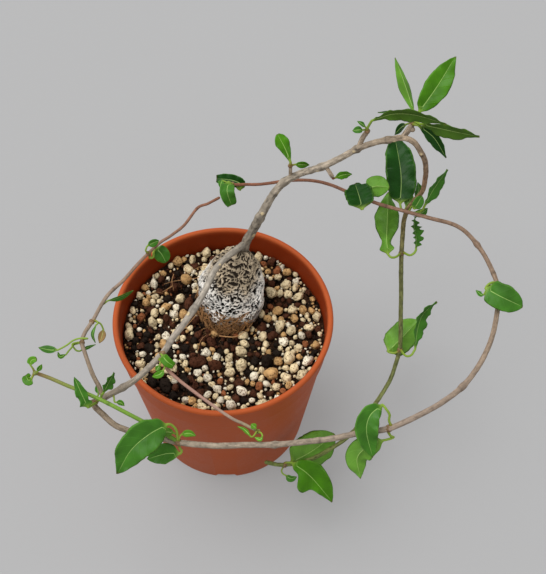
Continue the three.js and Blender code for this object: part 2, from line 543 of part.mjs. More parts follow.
// A leaf's cross-sections from the stem to the tip: each has a centre, the
// direction across it and the one its upper face looks in, and two functions of
// the place s from edge to edge (-1 to 1) for its reach and its lift
function leafRows(on, { from, stalk, rib, width, turn, fold, shape, torn, wave = 0, waves = 0 }) {
  const blade = curveThrough(rib);
  const root = from ? vector(from) : nearestOnStem(on, vector(stalk[0]));
  const stem = curveThrough([root.toArray(), ...stalk, rib[0]]);
  const tilt = THREE.MathUtils.degToRad(fold);
  const bladeRows = width > SMALL_LEAF ? 6 : 3;
  const rows = [];
  for (let i = 0; i <= bladeRows; i++) {
    const t = i / bladeRows;
    const tangent = blade.getTangentAt(t);
    const up = TOWARDS_LIGHT.clone().projectOnPlane(tangent).normalize();
    up.applyAxisAngle(tangent, THREE.MathUtils.degToRad(turn));
    const reach = (s) => {
      const outline = OUTLINES[torn && s > 0 ? "torn" : shape];
      return Math.max((width / 2) * along(outline, t), BLADE_EDGE) * s;
    };
    const lift = (s) => {
      const phase = 2 * Math.PI * waves * t + (s < 0 ? LEFT_EDGE_PHASE : 0);
      return Math.abs(reach(s)) * Math.tan(tilt) + wave * s * s * Math.cos(phase);
    };
    rows.push({ centre: blade.getPointAt(t), tangent, up, reach, lift, thickness: BLADE_THICKNESS });
  }
  const stalkRows = stalk.length + 1;
  for (let i = stalkRows - 1; i >= 0; i--) {
    const tangent = stem.getTangentAt(i / stalkRows);
    const up = rows[0].up.clone().projectOnPlane(tangent).normalize();
    const reach = (s) => STALK_RADIUS * s;
    const centre = stem.getPointAt(i / stalkRows);
    rows.unshift({ centre, tangent, up, reach, lift: () => 0, thickness: 2 * STALK_RADIUS });
  }
  return rows;
}

// A leaf as one closed sheet on a grid of rows from the stem to the tip and columns
// across. Both faces are split into triangles along the same diagonals.
function leafGeometry(on, leaf) {
  const rows = leafRows(on, leaf);
  const half = leaf.width > MIDDLING_LEAF ? 2 : 1;
  const columns = 2 * half + 1;
  const points = [];
  for (const side of [1, -1]) {
    for (const { centre, tangent, up, reach, lift, thickness } of rows) {
      const across = new THREE.Vector3().crossVectors(tangent, up);
      for (let j = 0; j < columns; j++) {
        const s = (j - half) / half;
        const spot = centre.clone()
          .addScaledVector(across, reach(s) * Math.cos(THREE.MathUtils.degToRad(leaf.fold)))
          .addScaledVector(up, lift(s) + (side * thickness) / 2);
        points.push(spot.x, spot.y, spot.z);
      }
    }
  }
  const under = rows.length * columns;
  const triangles = [];
  const wall = (a, b) => triangles.push(a, b + under, a + under, a, b, b + under);
  for (let i = 0; i < rows.length - 1; i++) {
    for (let j = 0; j < columns - 1; j++) {
      const a = i * columns + j;
      const b = a + columns;
      triangles.push(a, b + 1, b, a, a + 1, b + 1);
      triangles.push(a + under, b + under, b + 1 + under, a + under, b + 1 + under, a + 1 + under);
    }
    wall(i * columns, (i + 1) * columns);
    wall((i + 2) * columns - 1, (i + 1) * columns - 1);
  }
  for (let j = 0; j < columns - 1; j++) {
    wall(j + 1, j);
    wall(under - columns + j, under - columns + j + 1);
  }
  return indexedGeometry(points, triangles);
}

// A group of leaves as one body: its stalks start on the stem's middle line, and
// the stems, thickened by the gap, are cut away from it
function leafGroup({ on, clear = [], ring, leaves }) {
  const pieces = leaves.map((leaf) => solid(leafGeometry(on, leaf)));
  if (ring) {
    const knuckle = new THREE.IcosahedronGeometry(ring.radius, 0);
    knuckle.translate(...ring.at);
    pieces.push(solid(knuckle));
  }
  return [on, ...clear].reduce((body, stem) => body.subtract(stemSolid(stem, GAP)), union(pieces));
}

// The pot: a turned shell with a rolled lip, a collar and a notched foot
function potSolid() {
  const inner = RIM_RADIUS - LIP_WIDTH;
  const profile = [
    [0, 0], [CENTRE_PAD_RADIUS, 0], [CENTRE_PAD_RADIUS + 1, FLOOR_BOTTOM],
    [FOOT_RADIUS - 3.4, FLOOR_BOTTOM], [FOOT_RADIUS - 2.6, 0], [FOOT_RADIUS, 0],
    [BODY_TOP_RADIUS, COLLAR_BOTTOM - 0.6], [COLLAR_RADIUS, COLLAR_BOTTOM],
    [RIM_RADIUS - 1.3, POT_HEIGHT - 3.6], [RIM_RADIUS - 0.3, POT_HEIGHT - 2.8],
    [RIM_RADIUS, POT_HEIGHT - 1.5], [RIM_RADIUS - 0.5, POT_HEIGHT - 0.4],
    [RIM_RADIUS - 1.4, POT_HEIGHT], [RIM_RADIUS - 2.4, POT_HEIGHT - 0.3],
    [inner, POT_HEIGHT - 1.2], [inner - 0.3, POT_HEIGHT - 3.5],
    [COLLAR_RADIUS - WALL + 0.2, COLLAR_BOTTOM], [BODY_TOP_RADIUS - WALL, COLLAR_BOTTOM - 2],
    [FOOT_RADIUS - WALL + 0.4, FLOOR_TOP + 1], [FOOT_RADIUS - WALL - 0.8, FLOOR_TOP], [0, FLOOR_TOP],
  ];
  const turned = new THREE.LatheGeometry(profile.map(([r, z]) => new THREE.Vector2(r, z)), POT_SEGMENTS);
  turned.rotateX(Math.PI / 2);
  let body = solid(turned);
  for (let i = 0; i < NOTCH.count; i++) {
    const notch = new THREE.BoxGeometry(NOTCH.width, 10, 2 * NOTCH.height);
    notch.translate(0, -FOOT_RADIUS, 0);
    notch.rotateZ((2 * Math.PI * i) / NOTCH.count);
    body = body.subtract(solid(notch));
  }
  for (let i = 0; i < DRAIN.count; i++) {
    const hole = new THREE.CylinderGeometry(DRAIN.radius, DRAIN.radius, 4 * FLOOR_TOP, 10);
    hole.rotateX(Math.PI / 2);
    hole.translate(DRAIN.ring, 0, 0);
    hole.rotateZ((2 * Math.PI * (i + 0.5)) / DRAIN.count);
    body = body.subtract(solid(hole));
  }
  return body;
}

// The caudex: rings round a leaning axis, with lumps raised by three sine waves.
// Extra thickens it all over, at its ends too.
function caudexGeometry(extra = 0) {
  const foot = vector(CAUDEX.foot);
  const axis = vector(CAUDEX.crown).sub(foot);
  const upward = axis.clone().normalize();
  const east = new THREE.Vector3(1, 0, 0).projectOnPlane(upward).normalize();
  const north = new THREE.Vector3().crossVectors(upward, east);
  const { sides, rings } = CAUDEX;
  const points = [];
  for (let i = 0; i <= rings; i++) {
    const t = i / rings;
    const centre = foot.clone().addScaledVector(axis, t);
    if (i === 0) {
      centre.addScaledVector(upward, -extra);
    }
    if (i === rings) {
      centre.addScaledVector(upward, extra);
    }
    for (let j = 0; j < sides; j++) {
      const angle = (2 * Math.PI * j) / sides;
      const lumps = 0.5 * Math.sin(3 * angle + 9 * t) + 0.4 * Math.sin(7 * angle - 14 * t)
        + 0.3 * Math.sin(5 * angle + 23 * t);
      const radius = along(CAUDEX_PROFILE, t) + (t < 1 ? lumps : 0) + extra;
      const spot = centre.clone()
        .addScaledVector(east, radius * Math.cos(angle))
        .addScaledVector(north, radius * Math.sin(angle));
      points.push(spot.x, spot.y, spot.z);
    }
  }
  return closedRings(points, rings + 1, sides);
}

// A tall block whose top is a staggered grid of points at random heights, for grit
function gritBlock() {
  const { pitch, jitter, relief, seed } = GRIT;
  const cells = 2 * Math.ceil(COLLAR_RADIUS / pitch + 1);
  const block = new THREE.BoxGeometry(cells * pitch, cells * pitch, 2 * SOIL_TOP, cells, cells, 1);
  const random = seededRandom(seed);
  const moves = new Map();
  const { position } = block.attributes;
  for (let i = 0; i < position.count; i++) {
    const place = vector([position.getX(i), position.getY(i), position.getZ(i)]);
    const row = Math.round(place.y / pitch);
    const key = `${Math.round(place.x / pitch)} ${row}`;
    if (!moves.has(key)) {
      const [x, y, z] = [random() - 0.5, random() - 0.5, random() - 0.5];
      moves.set(key, vector([x * jitter + (row % 2 ? pitch / 2 : 0), y * jitter, z * relief]));
    }
    if (place.z > 0) {
      place.add(moves.get(key));
    }
    position.setXYZ(i, place.x, place.y, place.z);
  }
  return solid(block);
}

// The soil: a plug that fills the pot, with a top of grit and coarser grains sunk
// to half, and a hole for the caudex. A grain that the hole parts from it is lost.
function soilSolid() {
  const top = SOIL_TOP + 4;
  const profile = [
    [0, FLOOR_TOP + GAP], [FOOT_RADIUS - WALL - 1.4, FLOOR_TOP + GAP],
    [FOOT_RADIUS - WALL, FLOOR_TOP + 1 + GAP], [BODY_TOP_RADIUS - WALL - 0.5, COLLAR_BOTTOM - 1.7],
    [COLLAR_RADIUS - WALL - 0.3, COLLAR_BOTTOM + 1], [COLLAR_RADIUS - WALL, top], [0, top],
  ];
  const turned = new THREE.LatheGeometry(profile.map(([r, z]) => new THREE.Vector2(r, z)), POT_SEGMENTS);
  turned.rotateX(Math.PI / 2);
  const random = seededRandom(GRAINS.seed);
  const grains = [];
  for (let i = 0; i < GRAINS.count; i++) {
    const size = GRAINS.small + (GRAINS.large - GRAINS.small) * random() ** 1.5;
    const reach = COLLAR_RADIUS - WALL - size - 0.3;
    const ring = reach * Math.sqrt((i + 0.5) / GRAINS.count);
    const angle = i * GOLDEN_ANGLE + 0.5 * random();
    const grain = new THREE.IcosahedronGeometry(size, 0);
    grain.rotateX(6 * random());
    grain.rotateY(6 * random());
    grain.scale(1, 0.8 + 0.2 * random(), 0.7);
    grain.translate(ring * Math.cos(angle), ring * Math.sin(angle), SOIL_TOP + 0.3 * size);
    grains.push(solid(grain));
  }
  const plug = solid(turned).intersect(gritBlock());
  return largest(union([plug, ...grains]).subtract(solid(caudexGeometry(GAP + 0.05))));
}

// Putting it together
const plant = new THREE.Group();
plant.name = "potted_fockea";

plant.add(meshOf("pot", potSolid(), MATERIALS.pot));
plant.add(meshOf("soil", soilSolid(), MATERIALS.soil));

const sockets = union([stemSolid("stem_arching", GAP), stemSolid("stem_low", GAP)]);
plant.add(meshOf("caudex", largest(solid(caudexGeometry()).subtract(sockets)), MATERIALS.caudex));

for (const [name, { colour }] of Object.entries(STEMS)) {
  const parents = (GROWS_FROM[name] ?? []).map((parent) => stemSolid(parent, GAP));
  const body = parents.reduce((rest, parent) => rest.subtract(parent), stemSolid(name));
  plant.add(meshOf(name, largest(body), MATERIALS[colour]));
}

for (const [name, group] of Object.entries(LEAVES)) {
  plant.add(meshOf(name, leafGroup(group), MATERIALS.leaf));
}

export default plant;
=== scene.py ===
"""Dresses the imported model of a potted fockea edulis: a plastic nursery pot full of gritty soil, a swollen
stem base with crusty bark, woody stems that arch and run round in a hoop, and the leaves at their nodes.

Lengths are in millimetres in the tables and in the surface functions, and in metres in the meshes. Colours
in the tables are sRGB from 0 to 255.
"""

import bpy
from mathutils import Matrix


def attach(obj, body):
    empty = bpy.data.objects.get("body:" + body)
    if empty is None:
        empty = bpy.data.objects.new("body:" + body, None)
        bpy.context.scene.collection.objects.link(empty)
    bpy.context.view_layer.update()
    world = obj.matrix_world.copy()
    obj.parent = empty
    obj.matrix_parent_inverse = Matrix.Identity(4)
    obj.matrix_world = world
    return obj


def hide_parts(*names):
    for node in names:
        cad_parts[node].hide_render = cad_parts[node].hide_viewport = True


bl_info = {
    "name": "Potted Fockea Edulis",
    "version": (1, 0, 0),
    "blender": (4, 5, 0),
    "location": "View3D > Sidebar > Potted Plant",
    "description": "Builds the pot, soil, caudex, stems and leaves round the packed model",
    "category": "Add Mesh",
}

import bmesh
import bpy
import numpy as np
from bpy.props import FloatProperty, FloatVectorProperty, IntProperty, PointerProperty
from mathutils import Matrix, Vector

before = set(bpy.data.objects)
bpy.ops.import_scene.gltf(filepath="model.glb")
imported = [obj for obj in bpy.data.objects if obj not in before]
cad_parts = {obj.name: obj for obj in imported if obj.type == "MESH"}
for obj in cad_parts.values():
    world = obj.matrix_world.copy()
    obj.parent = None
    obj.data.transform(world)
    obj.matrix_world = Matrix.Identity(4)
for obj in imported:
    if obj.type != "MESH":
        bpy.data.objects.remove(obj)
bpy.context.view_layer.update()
MM = 0.001

# Half-widths of the leaf shapes, as (place along the blade, share of half the width).
OUTLINES = {
    "lance": [(0, 0.12), (0.2, 0.62), (0.45, 1), (0.75, 0.66), (1, 0.05)],
    "oval": [(0, 0.2), (0.15, 0.66), (0.4, 1), (0.7, 0.8), (0.9, 0.34), (1, 0.05)],
    "round": [(0, 0.35), (0.12, 0.78), (0.4, 1), (0.7, 0.9), (0.9, 0.5), (1, 0.08)],
    "obovate": [(0, 0.14), (0.3, 0.55), (0.65, 1), (0.88, 0.75), (1, 0.2)],
    "blunt": [(0, 0.5), (0.2, 0.9), (0.5, 1), (0.85, 0.85), (1, 0.6)],
    "waisted": [(0, 0.5), (0.08, 0.62), (0.22, 0.4), (0.5, 1), (0.75, 0.75), (1, 0.1)],
    "fiddle": [(0, 0.4), (0.12, 1), (0.28, 0.62), (0.5, 0.8), (0.75, 0.5), (1, 0.05)],
    "torn": [(0, 0.3), (0.2, 0.42), (0.32, 1), (0.5, 1.05), (0.58, 0.5), (0.8, 0.28), (1, 0.05)],
}

# The upper and the under side of each kind of leaf.
LEAF_TONES = {
    "dark": ((18, 60, 6), (74, 118, 40)),
    "mid": ((54, 102, 26), (84, 132, 44)),
    "fresh": ((62, 114, 8), (84, 130, 38)),
    "light": ((82, 134, 30), (92, 138, 46)),
    "olive": ((62, 94, 22), (86, 118, 40)),
    "dried": ((136, 108, 62), (142, 116, 72)),
}
STALK_TONES = {"green": (124, 150, 54), "foot": (112, 66, 44), "tip": (86, 74, 34)}
KNOT_TONES = {"woody": (116, 92, 66), "green": (118, 128, 62)}
# The size of a drawn knot beside the radius that its table says.
KNOT_SHARE = 0.56


def leaf(shape, kind, width, turn, fold, stalk, rib, wave=(0, 0), start=None, torn=False):
    """A leaf: its outline, its kind of green, its full width, the turn of its face about the rib and the
    angle that each half is folded up by, both in degrees, and the points of its stalk and of its rib. The
    wave is its height and count. The stalk starts at the start, or else at the stem's nearest point."""
    return {"shape": shape, "kind": kind, "width": width, "turn": turn, "fold": fold, "stalk": stalk,
            "rib": rib, "wave": wave, "start": start, "torn": torn}


# The route of each stem, its radii and tones as (share of its length, value), and its spurs as (route,
# radius). The level is the direction that stays square to it, and columns are the points round it. Scars
# are (share, angle from the level in degrees, radius).
STEMS = {
    "stem_arching": {
        "colour": "bark", "columns": 30, "level": (0, 1.0, 0), "rough": 1.5, "spur_tone": 0.3,
        "route": [(8, 21.5, 106), (10.6, 25, 119), (13.5, 26.5, 126), (18.5, 29.5, 137), (23, 33.5, 145),
            (28.5, 37.5, 150), (35.5, 39, 154), (45, 39, 159), (53, 40, 164), (60, 41, 169),
            (66.5, 41, 173), (73, 40.5, 176), (79.5, 40, 178), (84, 38.5, 177), (87, 37.5, 173),
            (90, 37.5, 166), (91.5, 38.5, 158), (92, 39, 151), (91.5, 38, 143), (88.5, 38.5, 135),
            (86, 37.5, 129), (85, 36, 122), (85, 33, 114), (85, 29, 107), (85.5, 24.5, 97),
            (86.5, 19.5, 84), (87, 13, 73), (87.5, 8.5, 65), (87.5, 4, 58), (86, -0.5, 53),
            (83.5, -6.5, 47), (79, -13.5, 43), (72, -23, 40.5), (62.5, -34.5, 39), (53, -41.5, 38),
            (42.5, -47.5, 38), (30, -51, 39), (20, -50.5, 41)],
        "radii": [(0, 2.3), (0.08, 2.1), (0.14, 1.7), (0.27, 1.35), (0.37, 1.2), (0.47, 1.1), (1, 1)],
        "spurs": [
            ([(60.5, 41, 168.5), (62, 43, 173), (64, 43.5, 178)], 1.1),
            ([(79, 40, 177.5), (81.5, 42.5, 180), (83.5, 44, 182.5)], 1.3),
            ([(31, 38.5, 151.5), (31, 39.5, 155), (31, 40.5, 157.5)], 0.8),
            ([(46.5, 39, 159.5), (48.5, 37, 157.5), (50, 35.5, 155.5)], 0.9),
            ([(82, 43, 180.5), (84.5, 42, 180.8)], 1.1),
        ],
        "swellings": [(20, 29, 133), (28.5, 37.5, 150), (45, 39, 159), (60, 41, 169), (73, 40.5, 176)],
        "tones": [(0, (116, 106, 92)), (0.08, (126, 117, 104)), (0.22, (150, 138, 122)),
            (0.34, (142, 124, 104)), (0.42, (126, 98, 74)), (0.5, (112, 100, 64)), (0.58, (106, 108, 66)),
            (0.8, (102, 108, 62)), (1, (98, 108, 56))],
        "nodes": [0.075, 0.13, 0.19, 0.26, 0.3, 0.36, 0.48, 0.585, 0.72, 0.86],
        "scars": [(0.062, 205, 1.1), (0.1, 160, 1.0), (0.135, 215, 0.9), (0.2, 190, 0.8), (0.255, 150, 0.8),
            (0.31, 200, 0.8), (0.355, 185, 0.9)],
    },
    "stem_low": {
        "colour": "bark", "columns": 26, "rough": 1.0,
        "route": [(10.2, 24.6, 119.5), (7, 19.8, 122), (2.6, 14, 124), (-2.6, 6.6, 125.2),
            (-5.8, -2.2, 125.2), (-8.5, -8.2, 124), (-12.2, -14, 122.2), (-16.4, -20.2, 120),
            (-20.9, -26.2, 118), (-25, -32.5, 116), (-31, -39, 114), (-37.5, -44.5, 112), (-44, -48, 110),
            (-52, -52, 108.2)],
        "radii": [(0, 1.6), (0.15, 1.45), (1, 1.4)],
        "swellings": [(-42, -47, 110.5), (-12.2, -14, 122.2)],
        "tones": [(0, (128, 120, 108)), (0.3, (150, 142, 130)), (0.7, (146, 136, 124)),
            (1, (132, 120, 104))],
        "nodes": [0.42, 0.62],
        "scars": [(0.47, 20, 1.0), (0.2, -40, 0.7)],
    },
    "vine_hoop": {
        "colour": "bark", "columns": 22, "rough": 1.0,
        "route": [(-53.5, -51.8, 108.2), (-54.5, -54.5, 107), (-50.5, -58, 105), (-45.5, -62, 103.5),
            (-39.5, -64, 102), (-33, -65.5, 101), (-25.5, -66.5, 100.5), (-17.5, -68.5, 100),
            (-2, -70, 100), (12, -69.5, 100), (25, -69.5, 100.5), (38, -68.5, 101.5), (49, -67.5, 102.5),
            (61, -65.5, 104), (71.5, -64.5, 105.5), (77, -63.5, 107), (88, -59, 109.5),
            (97.5, -54.5, 112.5), (107, -48, 116), (115, -38, 119), (120.5, -27, 122), (123.5, -15.5, 125),
            (124.5, -7.5, 126.5), (124, 0, 127.5), (120.5, 10.5, 129), (116.5, 17.5, 130.5),
            (111.5, 24, 131.5), (105.5, 27.5, 132.5), (96.5, 30, 133), (85, 33.5, 133.5), (71.5, 37, 135),
            (58.5, 42.5, 136), (50, 46.5, 136.5), (41.5, 48.5, 137), (31, 48.5, 137), (18, 47, 136),
            (9.5, 47.5, 135), (4.5, 48, 134)],
        "radii": [(0, 1.35), (0.4, 1.3), (0.6, 1.1), (0.75, 0.9), (0.9, 0.75), (1, 0.7)],
        "swellings": [(25, -69.5, 100.5), (107, -48, 116), (116.5, 17.5, 130.5)],
        "tones": [(0, (124, 108, 90)), (0.15, (140, 128, 112)), (0.4, (138, 122, 108)),
            (0.55, (134, 116, 98)), (0.72, (128, 104, 86)), (0.86, (122, 86, 68)), (1, (116, 74, 56))],
        "nodes": [0.1, 0.29, 0.47, 0.63, 0.8],
    },
    "vine_left": {
        "colour": "bark", "columns": 18, "rough": 0.8,
        "route": [(-51.5, -50.5, 109.3), (-52.5, -47.5, 111), (-55.5, -43, 115), (-59, -35, 120),
            (-60.5, -30.5, 121), (-59.5, -26, 122), (-56.5, -19.5, 122), (-51.5, -7, 122), (-44.5, 2, 122),
            (-38, 11, 123), (-29.5, 21, 124), (-24.5, 24.5, 125), (-18, 29.5, 127), (-12, 38, 129),
            (-7, 40, 130), (-1.5, 43, 131)],
        "radii": [(0, 1), (0.4, 0.85), (0.7, 0.7), (1, 0.65)],
        "tones": [(0, (130, 114, 96)), (0.4, (140, 122, 106)), (0.7, (132, 100, 82)), (1, (124, 82, 62))],
        "nodes": [0.2, 0.45, 0.68, 0.9],
    },
    "shoot_green": {
        "colour": "green", "columns": 16, "rough": 0.3,
        "route": [(-17.5, -68.5, 100), (-20, -67.5, 102), (-26.5, -64.5, 104.5), (-38, -60, 109),
            (-48.5, -56, 113), (-58, -52.5, 115.5), (-65.5, -50, 117), (-73.5, -47, 118.5),
            (-80, -45, 119.5)],
        "radii": [(0, 0.95), (1, 0.82)],
        "tones": [(0, (96, 132, 44)), (0.6, (116, 150, 56)), (0.9, (122, 118, 64)), (1, (128, 96, 66))],
        "nodes": [0.5],
    },
    "shoot_fine": {
        "colour": "fine", "columns": 14, "rough": 0.4,
        "route": [(-25, -33.5, 116), (-23.5, -39.5, 116), (-19, -44, 114.5), (-8, -51.5, 111),
            (5, -59, 106), (11.5, -61, 103), (17.5, -63.5, 101)],
        "radii": [(0, 0.8), (1, 0.65)],
        "tones": [(0, (146, 108, 92)), (0.5, (158, 122, 108)), (0.8, (150, 132, 116)), (1, (146, 136, 96))],
    },
}

